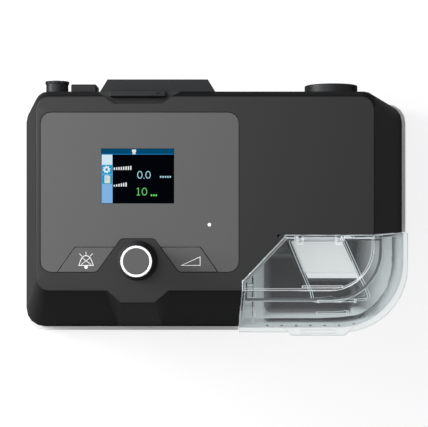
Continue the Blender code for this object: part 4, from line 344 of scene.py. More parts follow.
def moulded(name, colour, roughness, grain=0.5 * MM, depth=0.02, spread=0.06, gloss=0.5, glance=0.1, sheen=0.0):
    """Injection-moulded plastic: an even colour that drifts a little, and a spark-eroded grain in the gloss."""
    made, tree, output = new_material(name)
    place = add(tree, "ShaderNodeTexCoord").outputs["Object"]
    drift = add(tree, "ShaderNodeTexNoise", Vector=place, Scale=1 / DRIFT_SIZE, Detail=2.0).outputs["Fac"]
    base = linear(colour)
    tint = add(tree, "ShaderNodeMix", {"data_type": "RGBA"}, Factor=drift, i6=scaled(base, 1 - spread),
               i7=scaled(base, 1 + spread)).outputs[2]
    fine = add(tree, "ShaderNodeTexNoise", Vector=place, Scale=1 / grain, Detail=3.0, Roughness=0.6).outputs["Fac"]
    rough = add(tree, "ShaderNodeMapRange", Value=fine, i3=roughness - 0.04, i4=roughness + 0.04).outputs[0]
    bump = add(tree, "ShaderNodeBump", Height=fine, Strength=0.25, Distance=depth * MM).outputs[0]
    facing = add(tree, "ShaderNodeLayerWeight", Blend=0.5).outputs["Facing"]
    shine = add(tree, "ShaderNodeMapRange", Value=facing, i1=GLANCE_START, i2=GLANCE_END, i3=gloss,
                i4=gloss * glance).outputs[0]
    shader = add(tree, "ShaderNodeBsdfPrincipled", Base_Color=tint, Roughness=rough, Normal=bump,
                 Specular_IOR_Level=shine, Sheen_Weight=sheen)
    tree.links.new(shader.outputs[0], output.inputs[0])
    return made


def clear_plastic(name, tint, roughness=0.02, ior=1.45):
    """Clear moulded polycarbonate: it bends light, reflects a little and lets shadow rays through.

    Light that would be held inside a wall goes straight on.
    """
    made, tree, output = new_material(name)
    place = add(tree, "ShaderNodeTexCoord").outputs["Object"]
    flow = add(tree, "ShaderNodeTexNoise", Vector=place, Scale=1 / (18 * MM), Detail=2.0).outputs["Fac"]
    bump = add(tree, "ShaderNodeBump", Height=flow, Strength=0.04, Distance=0.3 * MM).outputs[0]
    going_in = add(tree, "ShaderNodeBsdfRefraction", Color=linear(tint), Roughness=roughness, IOR=ior, Normal=bump)
    straight = add(tree, "ShaderNodeBsdfTransparent", Color=linear(tint)).outputs[0]
    side = add(tree, "ShaderNodeNewGeometry").outputs
    cosine = add(tree, "ShaderNodeVectorMath", {"operation": "DOT_PRODUCT"}, i0=side["Incoming"],
                 i1=side["Normal"])
    slope = add(tree, "ShaderNodeMath", {"operation": "ABSOLUTE"}, i0=cosine.outputs["Value"]).outputs[0]
    steep = add(tree, "ShaderNodeMath", {"operation": "LESS_THAN"}, i0=slope, i1=CLEAR_CRITICAL).outputs[0]
    held = add(tree, "ShaderNodeMath", {"operation": "MULTIPLY"}, i0=side["Backfacing"], i1=steep).outputs[0]
    bent = add(tree, "ShaderNodeMixShader", i0=held, i1=going_in.outputs[0], i2=straight).outputs[0]
    shine = add(tree, "ShaderNodeBsdfGlossy", Color=linear(tint), Roughness=roughness, Normal=bump).outputs[0]
    facing = add(tree, "ShaderNodeLayerWeight", Blend=0.5, Normal=bump).outputs["Facing"]
    share = add(tree, "ShaderNodeMapRange", Value=facing, i3=CLEAR_SHINE[0], i4=CLEAR_SHINE[1]).outputs[0]
    body = add(tree, "ShaderNodeMixShader", i0=share, i1=bent, i2=shine).outputs[0]
    shadow = add(tree, "ShaderNodeLightPath").outputs["Is Shadow Ray"]
    through = add(tree, "ShaderNodeMath", {"operation": "MULTIPLY"}, i0=shadow, i1=CLEAR_TO_SHADOW).outputs[0]
    open_way = add(tree, "ShaderNodeBsdfTransparent").outputs[0]
    whole = add(tree, "ShaderNodeMixShader", i0=through, i1=body, i2=open_way).outputs[0]
    tree.links.new(whole, output.inputs[0])
    return made


def frosted_plastic(name, tint):
    """Frosted polycarbonate: a spark-eroded face of an even milky gray, which also glows a little as painted light.
    """
    made, tree, output = new_material(name)
    place = add(tree, "ShaderNodeTexCoord").outputs["Object"]
    fine = add(tree, "ShaderNodeTexNoise", Vector=place, Scale=1 / (0.8 * MM), Detail=3.0).outputs["Fac"]
    bump = add(tree, "ShaderNodeBump", Height=fine, Strength=0.3, Distance=0.02 * MM).outputs[0]
    shader = add(tree, "ShaderNodeBsdfPrincipled", Base_Color=linear(tint), Roughness=0.55, Normal=bump,
                 Transmission_Weight=0.1, Emission_Color=linear(tint), Emission_Strength=FROSTED_PAINTED_GLOW)
    tree.links.new(shader.outputs[0], output.inputs[0])
    return made


def printed(name, colour, glow=0.0):
    """Screen-printed ink, or a lit mark behind a window when it glows in full: flat and slightly rough. A weaker
    glow on anything but the light guide is painted light.
    """
    made, tree, output = new_material(name)
    place = add(tree, "ShaderNodeTexCoord").outputs["Object"]
    fine = add(tree, "ShaderNodeTexNoise", Vector=place, Scale=1 / (0.4 * MM), Detail=2.0).outputs["Fac"]
    rough = add(tree, "ShaderNodeMapRange", Value=fine, i3=0.4, i4=0.55).outputs[0]
    base, gloss = ((0, 0, 0, 1), 0.0) if glow == SCREEN_GLOW else (linear(colour), 0.3)
    shader = add(tree, "ShaderNodeBsdfPrincipled", Base_Color=base, Roughness=rough, Specular_IOR_Level=gloss,
                 Emission_Color=linear(colour), Emission_Strength=glow)
    tree.links.new(shader.outputs[0], output.inputs[0])
    return made


def worked_metal(name, colour, roughness, across="X"):
    """Turned or rolled metal: fine lines along the way that it was worked."""
    made, tree, output = new_material(name)
    place = add(tree, "ShaderNodeTexCoord").outputs["Object"]
    stretch = {"X": (40, 4000, 4000), "Z": (4000, 4000, 40)}[across]
    lines = add(tree, "ShaderNodeMapping", Vector=place, Scale=stretch).outputs[0]
    streak = add(tree, "ShaderNodeTexNoise", Vector=lines, Scale=1.0, Detail=2.0).outputs["Fac"]
    rough = add(tree, "ShaderNodeMapRange", Value=streak, i3=roughness - 0.06, i4=roughness + 0.08).outputs[0]
    bump = add(tree, "ShaderNodeBump", Height=streak, Strength=0.1, Distance=0.01 * MM).outputs[0]
    shader = add(tree, "ShaderNodeBsdfPrincipled", Base_Color=linear(colour), Metallic=1.0, Roughness=rough,
                 Normal=bump)
    tree.links.new(shader.outputs[0], output.inputs[0])
    return made


def sheet_with_lit_rim(name, colour, lit_rim_colour, node):
    """Satin metal sheet: dark in the middle of the piece, and paler over the last part before its edges, which is
    painted light for the bright edge of the tank's floor.
    """
    made, tree, output = new_material(name)
    low, high = node_box(node)
    centre = tuple((low + high) / 2)
    place = add(tree, "ShaderNodeTexCoord").outputs["Object"]
    near = add(tree, "ShaderNodeVectorMath", {"operation": "SUBTRACT"}, i0=place, i1=centre).outputs[0]
    half = ((high.x - low.x) / 2, (high.y - low.y) / 2, 1)
    share = add(tree, "ShaderNodeVectorMath", {"operation": "DIVIDE"}, i0=near, i1=half).outputs[0]
    both = add(tree, "ShaderNodeVectorMath", {"operation": "ABSOLUTE"}, i0=share).outputs[0]
    axes = add(tree, "ShaderNodeSeparateXYZ", Vector=both).outputs
    outermost = add(tree, "ShaderNodeMath", {"operation": "MAXIMUM"}, i0=axes[0], i1=axes[1]).outputs[0]
    lit_rim = add(tree, "ShaderNodeMapRange", {"interpolation_type": "SMOOTHSTEP"}, Value=outermost,
              i1=LIT_RIM_START).outputs[0]
    tint = add(tree, "ShaderNodeMix", {"data_type": "RGBA"}, Factor=lit_rim, i6=linear(colour),
               i7=linear(lit_rim_colour)).outputs[2]
    shader = add(tree, "ShaderNodeBsdfPrincipled", Base_Color=tint, Roughness=0.55, Specular_IOR_Level=0.2)
    tree.links.new(shader.outputs[0], output.inputs[0])
    return made


def painted_haze(name, colour):
    """Milky sheet in the tank's floor, clear in the middle and milky by the left, front and right walls, with a
    faint glow: painted light for the pale band along the walls.
    """
    made, tree, output = new_material(name)
    place = add(tree, "ShaderNodeTexCoord").outputs["Object"]
    axes = add(tree, "ShaderNodeSeparateXYZ", Vector=place).outputs
    milky = 0.0
    for axis, clear, full in HAZE_RAMPS:
        ramp = add(tree, "ShaderNodeMapRange", {"interpolation_type": "SMOOTHSTEP"}, Value=axes[axis], i1=clear,
                   i2=full).outputs[0]
        milky = add(tree, "ShaderNodeMath", {"operation": "MAXIMUM"}, i0=milky, i1=ramp).outputs[0]
    fine = add(tree, "ShaderNodeTexNoise", Vector=place, Scale=1 / (5 * MM), Detail=3.0).outputs["Fac"]
    uneven = add(tree, "ShaderNodeMapRange", Value=fine, i3=HAZE_DENSITY - 0.1, i4=HAZE_DENSITY + 0.1).outputs[0]
    cover = add(tree, "ShaderNodeMath", {"operation": "MULTIPLY"}, i0=milky, i1=uneven).outputs[0]
    shader = add(tree, "ShaderNodeBsdfPrincipled", Base_Color=linear(colour), Roughness=0.7, Alpha=cover,
                 Specular_IOR_Level=0.1, Emission_Color=linear(colour), Emission_Strength=HAZE_PAINTED_GLOW)
    tree.links.new(shader.outputs[0], output.inputs[0])
    return made


def laminate(name, colour, copper):
    """Circuit board laminate: green solder mask over copper tracks that show as a faint lighter grid."""
    made, tree, output = new_material(name)
    place = add(tree, "ShaderNodeTexCoord").outputs["Object"]
    tracks = add(tree, "ShaderNodeTexBrick", Vector=place, Color1=(1, 1, 1, 1), Color2=(0.7, 0.7, 0.7, 1),
                 Mortar=(0, 0, 0, 1), Scale=1 / (6 * MM)).outputs["Color"]
    tint = add(tree, "ShaderNodeMix", {"data_type": "RGBA"}, Factor=tracks, i6=linear(copper),
               i7=linear(colour)).outputs[2]
    shader = add(tree, "ShaderNodeBsdfPrincipled", Base_Color=tint, Roughness=0.35, Coat_Weight=0.4)
    tree.links.new(shader.outputs[0], output.inputs[0])
    return made


def fibre_felt(name, colour):
    """Non-woven filter felt: pale fibres in a mat, seen as a soft mottle with no gloss."""
    made, tree, output = new_material(name)
    place = add(tree, "ShaderNodeTexCoord").outputs["Object"]
    mat = add(tree, "ShaderNodeTexNoise", Vector=place, Scale=1 / (0.9 * MM), Detail=6.0,
              Roughness=0.75).outputs["Fac"]
    tint = add(tree, "ShaderNodeMix", {"data_type": "RGBA"}, Factor=mat, i6=scaled(linear(colour), 0.72),
               i7=linear(colour)).outputs[2]
    bump = add(tree, "ShaderNodeBump", Height=mat, Strength=0.8, Distance=0.15 * MM).outputs[0]
    shader = add(tree, "ShaderNodeBsdfPrincipled", Base_Color=tint, Roughness=0.95, Normal=bump,
                 Sheen_Weight=0.3)
    tree.links.new(shader.outputs[0], output.inputs[0])
    return made


def seen_rays(tree):
    """One for the rays that show the white surroundings: the camera's, and those mirrored or bent."""
    path = add(tree, "ShaderNodeLightPath").outputs
    seen = path["Is Camera Ray"]
    for kind in ("Is Glossy Ray", "Is Transmission Ray"):
        seen = add(tree, "ShaderNodeMath", {"operation": "MAXIMUM"}, i0=seen, i1=path[kind]).outputs[0]
    return seen


def put(name, data):
    """A new object in the scene."""
    piece = bpy.data.objects.new(name, data)
    bpy.context.scene.collection.objects.link(piece)
    return piece


def mesh_of(shape, name):
    """A mesh from a bmesh, which is freed."""
    mesh = bpy.data.meshes.new(name)
    shape.to_mesh(mesh)
    shape.free()
    return mesh


def piece_from(shape, name, finish, body, smooth=True):
    """Turns a bmesh into a piece that rides on a body, with its finish."""
    mesh = mesh_of(shape, name)
    if smooth:
        mesh.shade_smooth()
    piece = put(name, mesh)
    mesh.materials.append(FINISHES[finish])
    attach(piece, body)
    return piece


def body_of(name):
    return NODES[name]["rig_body"]


def refined(name, finish, edge=None, segments=2, smooth=True, split=True):
    """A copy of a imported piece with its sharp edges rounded, which stands for that piece."""
    piece = piece_from(welded(name, split), name + "_finished", finish, body_of(name), smooth)
    width = sizes().edge if edge is None else edge
    if width:
        rounding = piece.modifiers.new("Edges", "BEVEL")
        rounding.width = width
        rounding.segments = segments
        rounding.limit_method = "ANGLE"
        rounding.angle_limit = math.radians(BEVEL_ANGLE)
        rounding.use_clamp_overlap = True
    if smooth and width:
        weighted = piece.modifiers.new("Flat faces", "WEIGHTED_NORMAL")
        weighted.mode = "FACE_AREA_WITH_ANGLE"
        weighted.weight = 100
        weighted.keep_sharp = True
    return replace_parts(piece, name)


def refined_group(finish, edge, *names):
    """Several pieces in one finish, with the same edge radius in millimetres."""
    for name in names:
        refined(name, finish, edge=edge * MM)


def starting(prefix):
    return [name for name in NODES if name.startswith(prefix)]


def prism(shape, outline, low, high):
    """Adds an upright block over an anticlockwise outline."""
    below = [shape.verts.new((x, y, low)) for x, y in outline]
    above = [shape.verts.new((x, y, high)) for x, y in outline]
    count = len(outline)
    for i in range(count):
        after = (i + 1) % count
        shape.faces.new((below[i], below[after], above[after], above[i]))
    shape.faces.new(above)
    shape.faces.new(reversed(below))


def band(shape, outer, inner, low, high):
    """Adds an upright ring between two outlines with the same number of points."""
    rings = [[shape.verts.new((x, y, z)) for x, y in line] for line, z in
             ((outer, low), (outer, high), (inner, high), (inner, low))]
    count = len(outer)
    for ring, following in zip(rings, rings[1:] + rings[:1]):
        for i in range(count):
            after = (i + 1) % count
            shape.faces.new((ring[i], ring[after], following[after], following[i]))


def arc(centre, radius, start=0, end=2 * math.pi, steps=48):
    """Points along a round stretch, both ends included unless it closes on itself."""
    closed = abs(end - start - 2 * math.pi) < WELD
    count = steps if closed else steps + 1
    turn = (end - start) / steps
    return [
        (centre[0] + radius * math.cos(start + turn * i), centre[1] + radius * math.sin(start + turn * i))
        for i in range(count)
    ]


def strokes(shape, points, width, low, high, closed=False):
    """Adds a line of constant width along points, its corners mitred."""
    count = len(points)
    left, right = [], []
    for i, point in enumerate(points):
        here = Vector(point)
        back = here - Vector(points[i - 1]) if i or closed else None
        ahead = Vector(points[(i + 1) % count]) - here if i < count - 1 or closed else None
        back = (back or ahead).normalized()
        ahead = (ahead or back).normalized()
        side = Vector((-(back + ahead).y, (back + ahead).x)).normalized()
        reach = width / 2 / max(MITRE_LIMIT, side.dot(Vector((-ahead.y, ahead.x))))
        left.append(tuple(here + side * reach))
        right.append(tuple(here - side * reach))
    if closed:
        band(shape, right, left, low, high)
        return
    prism(shape, right + left[::-1], low, high)


def block(shape, low, high):
    prism(shape, [(low[0], low[1]), (high[0], low[1]), (high[0], high[1]), (low[0], high[1])], low[2], high[2])


def tidy(shape):
    """Makes every face of a drawn shape point outwards."""
    bmesh.ops.recalc_face_normals(shape, faces=shape.faces)
    return shape


def new_tree(name, **inputs):
    """A Geometry Nodes tree that takes a mesh and named sizes: the tree and the sockets that it is given."""
    tree = bpy.data.node_groups.new(name, "GeometryNodeTree")
    tree.interface.new_socket("Geometry", in_out="INPUT", socket_type="NodeSocketGeometry")
    tree.interface.new_socket("Geometry", in_out="OUTPUT", socket_type="NodeSocketGeometry")
    for label, kind in inputs.items():
        tree.interface.new_socket(label, in_out="INPUT", socket_type="NodeSocket" + kind)
    return tree, tree.nodes.new("NodeGroupInput").outputs


def close_tree(tree, geometry, finish):
    """Ends a tree with real geometry in its finish."""
    real = add(tree, "GeometryNodeRealizeInstances", Geometry=geometry).outputs[0]
    dressed = add(tree, "GeometryNodeSetMaterial", Geometry=real, Material=FINISHES[finish]).outputs[0]
    tree.links.new(dressed, tree.nodes.new("NodeGroupOutput").inputs[0])
    return tree


def edge_highlight_tree(finish):
    """Thin round lines just under every sharp edge of a mesh, which carry painted highlights."""
    tree, given = new_tree("highlight_lines_along_edges", Radius="Float", Angle="Float")
    angle = add(tree, "GeometryNodeInputMeshEdgeAngle").outputs[0]
    sharp = add(tree, "FunctionNodeCompare", {"operation": "GREATER_THAN"}, i0=angle, i1=given["Angle"]).outputs[0]
    normal = add(tree, "GeometryNodeInputNormal").outputs[0]
    inward = add(tree, "ShaderNodeMath", {"operation": "MULTIPLY"}, i0=given["Radius"],
                 i1=-LINE_DEPTH).outputs[0]
    offset = add(tree, "ShaderNodeVectorMath", {"operation": "SCALE"}, Vector=normal, Scale=inward).outputs[0]
    moved = add(tree, "GeometryNodeSetPosition", Geometry=given["Geometry"], Offset=offset).outputs[0]
    lines = add(tree, "GeometryNodeMeshToCurve", Mesh=moved, Selection=sharp).outputs[0]
    ring = add(tree, "GeometryNodeCurvePrimitiveCircle", Resolution=6, Radius=given["Radius"]).outputs[0]
    tubes = add(tree, "GeometryNodeCurveToMesh", Curve=lines, Profile_Curve=ring).outputs[0]
    return close_tree(tree, tubes, finish)


def row_tree(finish):
    """Equal blocks along a line, turned to follow it."""
    tree, given = new_tree("blocks_along_line", Pitch="Float", Block="Vector")
    line = add(tree, "GeometryNodeMeshToCurve", Mesh=given["Geometry"]).outputs[0]
    spaced = add(tree, "GeometryNodeResampleCurve", {"mode": "LENGTH"}, Curve=line,
                 Length=given["Pitch"]).outputs[0]
    along = add(tree, "GeometryNodeInputTangent").outputs[0]
    turn = add(tree, "FunctionNodeAlignRotationToVector", {"axis": "X"}, Vector=along).outputs[0]
    brick = add(tree, "GeometryNodeMeshCube", Size=given["Block"]).outputs[0]
    row = add(tree, "GeometryNodeInstanceOnPoints", Points=spaced, Instance=brick, Rotation=turn).outputs[0]
    return close_tree(tree, row, finish)


def line_mesh(name, points):
    mesh = bpy.data.meshes.new(name)
    mesh.from_pydata(points, [(i, i + 1) for i in range(len(points) - 1)], [])
    return mesh


def welded(name, split=True):
    """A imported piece's own mesh, its corners joined and its flat faces made whole, or split only where hollow."""
    shape = bmesh.new()
    shape.from_mesh(NODES[name].data)
    bmesh.ops.remove_doubles(shape, verts=shape.verts, dist=WELD)
    flat = math.radians(FLAT_ANGLE)
    bmesh.ops.dissolve_limit(shape, angle_limit=flat, verts=shape.verts, edges=shape.edges)
    if split:
        bmesh.ops.connect_verts_concave(shape, faces=shape.faces)
    return shape


def grown(tree, name, mesh, node, **values):
    """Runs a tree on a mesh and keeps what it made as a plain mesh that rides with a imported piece."""
    holder = put(name, mesh)
    modifier = holder.modifiers.new("Pattern", "NODES")
    modifier.node_group = tree
    for item in tree.interface.items_tree:
        if item.item_type == "SOCKET" and item.in_out == "INPUT" and item.name in values:
            modifier[item.identifier] = values[item.name]
    bpy.context.view_layer.update()
    made = bpy.data.meshes.new_from_object(holder.evaluated_get(bpy.context.evaluated_depsgraph_get()))
    holder.modifiers.remove(modifier)
    holder.data = made
    made.name = name
    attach(holder, body_of(node))
    return holder


def build_finishes():
    """Every finish on the machine, named for its material."""
    made = colours()
    return {
        # Black ABS with a spark-eroded texture: dark, with a broad soft sheen that is lost on the steep sides
        "shell_abs": moulded("shell_abs", made.shell, 0.5, grain=0.9 * MM, gloss=0.3, glance=0.01),
        # Satin ABS of the panel and buttons: an even mid gray, hardly any sheen
        "panel_abs": moulded("panel_abs", made.panel, 0.6, grain=0.5 * MM, depth=0.008, spread=0.02, gloss=0.05),
        # Light gray ABS of the tray: smooth, slightly glossy
        "tray_abs": moulded("tray_abs", made.tray, 0.42, grain=0.8 * MM, depth=0.01, spread=0.03, gloss=0.2),
        # Black glass-filled nylon of the connectors: a little rougher and grayer than the shell
        "connector_nylon": moulded("connector_nylon", 0x1B1C1E, 0.5, grain=0.6 * MM, depth=0.03, gloss=0.2,
                                   glance=0.03),
        # Dark polypropylene of the dock and the air path: waxy and dull
        "liner_pp": moulded("liner_pp", 0x303236, 0.5, grain=1.2 * MM, depth=0.03),
        # Soft-touch coat of the knob: very matt dark gray
        "knob_softtouch": moulded("knob_softtouch", 0x29292B, 0.6, grain=0.3 * MM, depth=0.01, gloss=0.2,
                                  glance=0.05),
        # White polycarbonate light guide, lit from below: an even glow
        "light_guide": printed("light_guide", 0xF0F0F0, glow=GUIDE_GLOW),
        # White nylon of the impeller: clean and satin
        "impeller_nylon": moulded("impeller_nylon", 0xDEDEDA, 0.4, grain=1 * MM, depth=0.01, spread=0.02),
        # Injection-moulded clear polycarbonate of the tank: it bends what lies behind it
        "tank_polycarbonate": clear_plastic("tank_polycarbonate", 0xF8FAFA),
        # Spark-eroded polycarbonate of the deflector: pale and milky, with a faint glow that is painted light
        "frosted_polycarbonate": frosted_plastic("frosted_polycarbonate", 0xE6E6E6),
        # Silicone rubber of seals, pads and feet: dull, faintly dusty
        "gray_silicone": moulded("gray_silicone", 0x55575A, 0.75, grain=0.7 * MM, depth=0.03, sheen=0.2),
        # Black acrylic window over the display, with an anti-glare coat: smooth, and it mirrors nothing
        "window_acrylic": moulded("window_acrylic", 0x020408, 0.16, grain=4 * MM, depth=0.0, spread=0.0,
                                  gloss=0.0),
        # Screen-printed white ink of the button symbols: flat, with a faint glow that is painted light
        "white_ink": printed("white_ink", made.ink, glow=INK_PAINTED_GLOW),
        # Turned stainless steel of pins, screws and shafts: bright, with fine lines round it
        "turned_steel": worked_metal("turned_steel", 0xC4C5C7, 0.3, across="Z"),
        # Rolled stainless sheet of the heater: satin, with lines along it
        "rolled_steel": worked_metal("rolled_steel", 0xB9BBBD, 0.34),
        # Anodised aluminium sheet in the tank's floor: dark gray, with a paler rim that is painted light
        "base_sheet": sheet_with_lit_rim("base_sheet", 0x343537, 0x747678, "tank_base_plate"),
        # Milky sheet in the clear floor round the base sheet, denser towards the walls, with a faint glow: painted
        # light for the pale band along the walls
        "floor_painted_haze": painted_haze("floor_painted_haze", 0xDCDEE0),
        # Painted highlights: glowing white lines just inside the sharp edges of the clear plastic
        "painted_edge_highlight": printed("painted_edge_highlight", 0xE4E6E8, glow=EDGE_HIGHLIGHT_GLOW),
        # Glass-filled epoxy board with green solder mask over copper tracks: satin
        "board_laminate": laminate("board_laminate", 0x0E4A2C, 0x2F7A4C),
        # Polyester filter felt: white, soft and without gloss
        "filter_felt": fibre_felt("filter_felt", 0xD9DEE2),
        # Black epoxy of the switches on the control board: dull and even
        "chip_epoxy": moulded("chip_epoxy", 0x18191B, 0.5, grain=0.5 * MM, depth=0.01),
        # Lit marks of the display, each in its own colour
        **{name: printed(name, colour, glow=SCREEN_GLOW) for name, colour in SCREEN_COLOURS},
    }


class MACHINE_OT_casing(bpy.types.Operator):
    """Upper casing, base tray, feet and case screws"""

    bl_idname = "machine.casing"
    bl_label = "Casing"

    def execute(self, context):
        refined("top_shell", "shell_abs")
        refined("base_tray", "tray_abs")
        for name in starting("foot_"):
            refined(name, "gray_silicone")
        refined_group("turned_steel", 0.15, *starting("case_screw_"))
        return {"FINISHED"}


class MACHINE_OT_panel(bpy.types.Operator):
    """Control panel with its buttons and their printed symbols"""

    bl_idname = "machine.panel"
    bl_label = "Control panel"

    def execute(self, context):
        refined("control_panel", "panel_abs", edge=0.25 * MM, smooth=False, split=False)
        refined_group("panel_abs", 0.25, "mute_button", "ramp_button")
        refined("status_light_pipe", "light_guide", edge=0.1 * MM)
        self.draw_mute_symbol()
        self.draw_ramp_symbol()
        return {"FINISHED"}

    def finish_symbol(self, shape, name, button):
        piece_from(tidy(shape), name, "white_ink", body_of(button), smooth=False)

    def draw_mute_symbol(self):
        """A bell with a cross in it and three short rays over it."""
        width = sizes().line
        low = node_box("mute_button")[1].z
        high = low + sizes().print_lift
        x = KNOB_X - MUTE_OFFSET
        y = PANEL_FRONT + SYMBOL_RISE
        half = BELL_HALF
        shape = bmesh.new()
        side = [(x + half * share_x, y + BELL_HEIGHT * share_y) for share_x, share_y in BELL_SHARES]
        other = [(2 * x - px, py) for px, py in reversed(side[:-1])]
        strokes(shape, side + other, width, low, high, closed=True)
        (low_x, low_y), (high_x, high_y) = BELL_CROSS
        for turn in (-1, 1):
            low_point = (x - turn * half * low_x, y + BELL_HEIGHT * low_y)
            high_point = (x + turn * half * high_x, y + BELL_HEIGHT * high_y)
            strokes(shape, [low_point, high_point], width * THIN_STROKE, low, high)
        for turn, start, end in BELL_RAYS:
            near = (x + turn * half * RAY_SPREAD[0], y + BELL_HEIGHT * start)
            far = (x + turn * half * RAY_SPREAD[1], y + BELL_HEIGHT * end)
            strokes(shape, [near, far], width * THIN_STROKE, low, high)
        prism(shape, arc((x, y - CLAPPER_RADIUS), CLAPPER_RADIUS, steps=20), low, high)
        self.finish_symbol(shape, "mute_symbol", "mute_button")

    def draw_ramp_symbol(self):
        """A rising wedge."""
        low = node_box("ramp_button")[1].z
        high = low + sizes().print_lift
        left = KNOB_X + RAMP_OFFSET
        y = PANEL_FRONT + SYMBOL_RISE
        corners = [(left, y), (left + WEDGE_WIDTH, y), (left + WEDGE_WIDTH, y + WEDGE_HEIGHT)]
        shape = bmesh.new()
        strokes(shape, corners, sizes().line, low, high, closed=True)
        self.finish_symbol(shape, "ramp_symbol", "ramp_button")


class MACHINE_OT_display(bpy.types.Operator):
    """Display window with a lit screen: bars, plain tiles and two readings"""

    bl_idname = "machine.display"
    bl_label = "Display"

    def execute(self, context):
        refined("display_window", "window_acrylic", edge=0.1 * MM)
        refined("display_module", "connector_nylon")
        self.low = WINDOW_HIGH.z
        self.lift = sizes().print_lift
        for name, finish, layer, boxes in SCREEN_BARS:
            self.fill(name, finish, layer, boxes)
        self.draw_gear()
        for name, finish, layer, boxes in PAGE_BARS:
            self.fill(name, finish, layer, boxes)
        for name, base, lowest, rise, count in TICK_ROWS:
            self.draw_ticks(name, base, lowest, rise, count)
        for name, finish, left, top, count in DOT_ROWS:
            self.draw_dots(name, finish, left, top, count)
        self.draw_figures()
        return {"FINISHED"}

    def place(self, share_x, share_y):
        """A point on the screen from its share of the width and of the depth, counted from the upper left."""
        width = WINDOW_HIGH.x - WINDOW_LOW.x
        depth = WINDOW_HIGH.y - WINDOW_LOW.y
        return (WINDOW_LOW.x + width * share_x, WINDOW_HIGH.y - depth * share_y)

    def keep(self, shape, name, finish):
        piece_from(tidy(shape), name, finish, body_of("display_window"), smooth=False)

    def fill(self, name, finish, layer, boxes):
        """Flat boxes on the window, each given by its left, top, right and bottom shares."""
        shape = bmesh.new()
        for left, top, right, bottom in boxes:
            x_low, y_high = self.place(left, top)
            x_high, y_low = self.place(right, bottom)
            block(shape, (x_low, y_low, self.low), (x_high, y_high, self.low + self.lift * layer))
        self.keep(shape, name, finish)

    def draw_gear(self):
        """A plain cog on the second tile."""
        shape = bmesh.new()
        x, y = self.place(*GEAR_CENTRE)
        steps = GEAR_TEETH * TOOTH_STEPS
        outer = []
        for i in range(steps):
            turn = 2 * math.pi * (i + 0.5) / steps
            reach = GEAR_RADIUS * (1 if i % TOOTH_STEPS in (0, 1) else GEAR_ROOT)
            outer.append((x + reach * math.cos(turn), y + reach * math.sin(turn)))
        inner = arc((x, y), GEAR_RADIUS * GEAR_HOLE, math.pi / steps, 2 * math.pi + math.pi / steps, steps)
        band(shape, outer, inner, self.low, self.low + GEAR_LAYER * self.lift)
        self.keep(shape, "screen_cog", "screen_white")

    def draw_ticks(self, name, base, lowest, rise, count):
        """A row of ticks on a base line, each a little taller than the one before it."""
        boxes = []
        for i in range(count):
            left = TICK_LEFT + TICK_PITCH * i
            boxes.append((left, base - lowest - rise * i, left + TICK_WIDTH, base))
        self.fill(name, "screen_white", 1, boxes)

    def draw_dots(self, name, finish, left, top, count):
        """A row of dots after a reading."""
        starts = [left + DOT_PITCH * i for i in range(count)]
        self.fill(name, finish, 1, [(start, top, start + DOT_WIDTH, top + DOT_DEPTH) for start in starts])

    def draw_figures(self):
        """The two readings, drawn as single strokes."""
        for name, finish, top, bottom, marks in READINGS:
            shape = bmesh.new()
            for mark, left, right in marks:
                self.draw_mark(shape, mark, self.place(left, bottom), self.place(right, top))
            self.keep(shape, name, finish)

    def draw_mark(self, shape, mark, corner, far_corner):
        """One figure or point between its lower left and upper right corners."""
        pen = FIGURE_PEN
        left, low = (c + pen / 2 for c in corner)
        right, high = (c - pen / 2 for c in far_corner)
        middle = (left + right) / 2
        top = self.low + self.lift
        if mark == "0":
            half_width, half_height = (right - left) / 2, (high - low) / 2
            loop = [(middle + half_width * x, low + half_height * (1 + y)) for x, y in arc((0, 0), 1, steps=24)]
            strokes(shape, loop, pen, self.low, top, closed=True)
        elif mark == "1":
            strokes(shape, [(left, high - pen), (middle, high), (middle, low)], pen, self.low, top)
            strokes(shape, [(left, low), (right, low)], pen, self.low, top)
        else:
            block(shape, (left - pen / 2, low - pen / 2, self.low), (right + pen / 2, low + pen / 2, top))


class MACHINE_OT_knob(bpy.types.Operator):
    """Push-and-turn knob with its light ring, cap and encoder, and the switches under the buttons"""

    bl_idname = "machine.knob"
    bl_label = "Knob"

    def execute(self, context):
        refined("knob_body", "knob_softtouch", edge=0.3 * MM, segments=3)
        refined("knob_cap", "panel_abs", edge=0.2 * MM)
        refined("knob_light_ring", "light_guide", edge=0.15 * MM)
        refined("encoder_body", "connector_nylon", edge=0.2 * MM)
        refined_group("turned_steel", 0.2, "encoder_shaft", "encoder_plunger")
        refined_group("chip_epoxy", 0.1, "mute_switch", "ramp_switch")
        return {"FINISHED"}


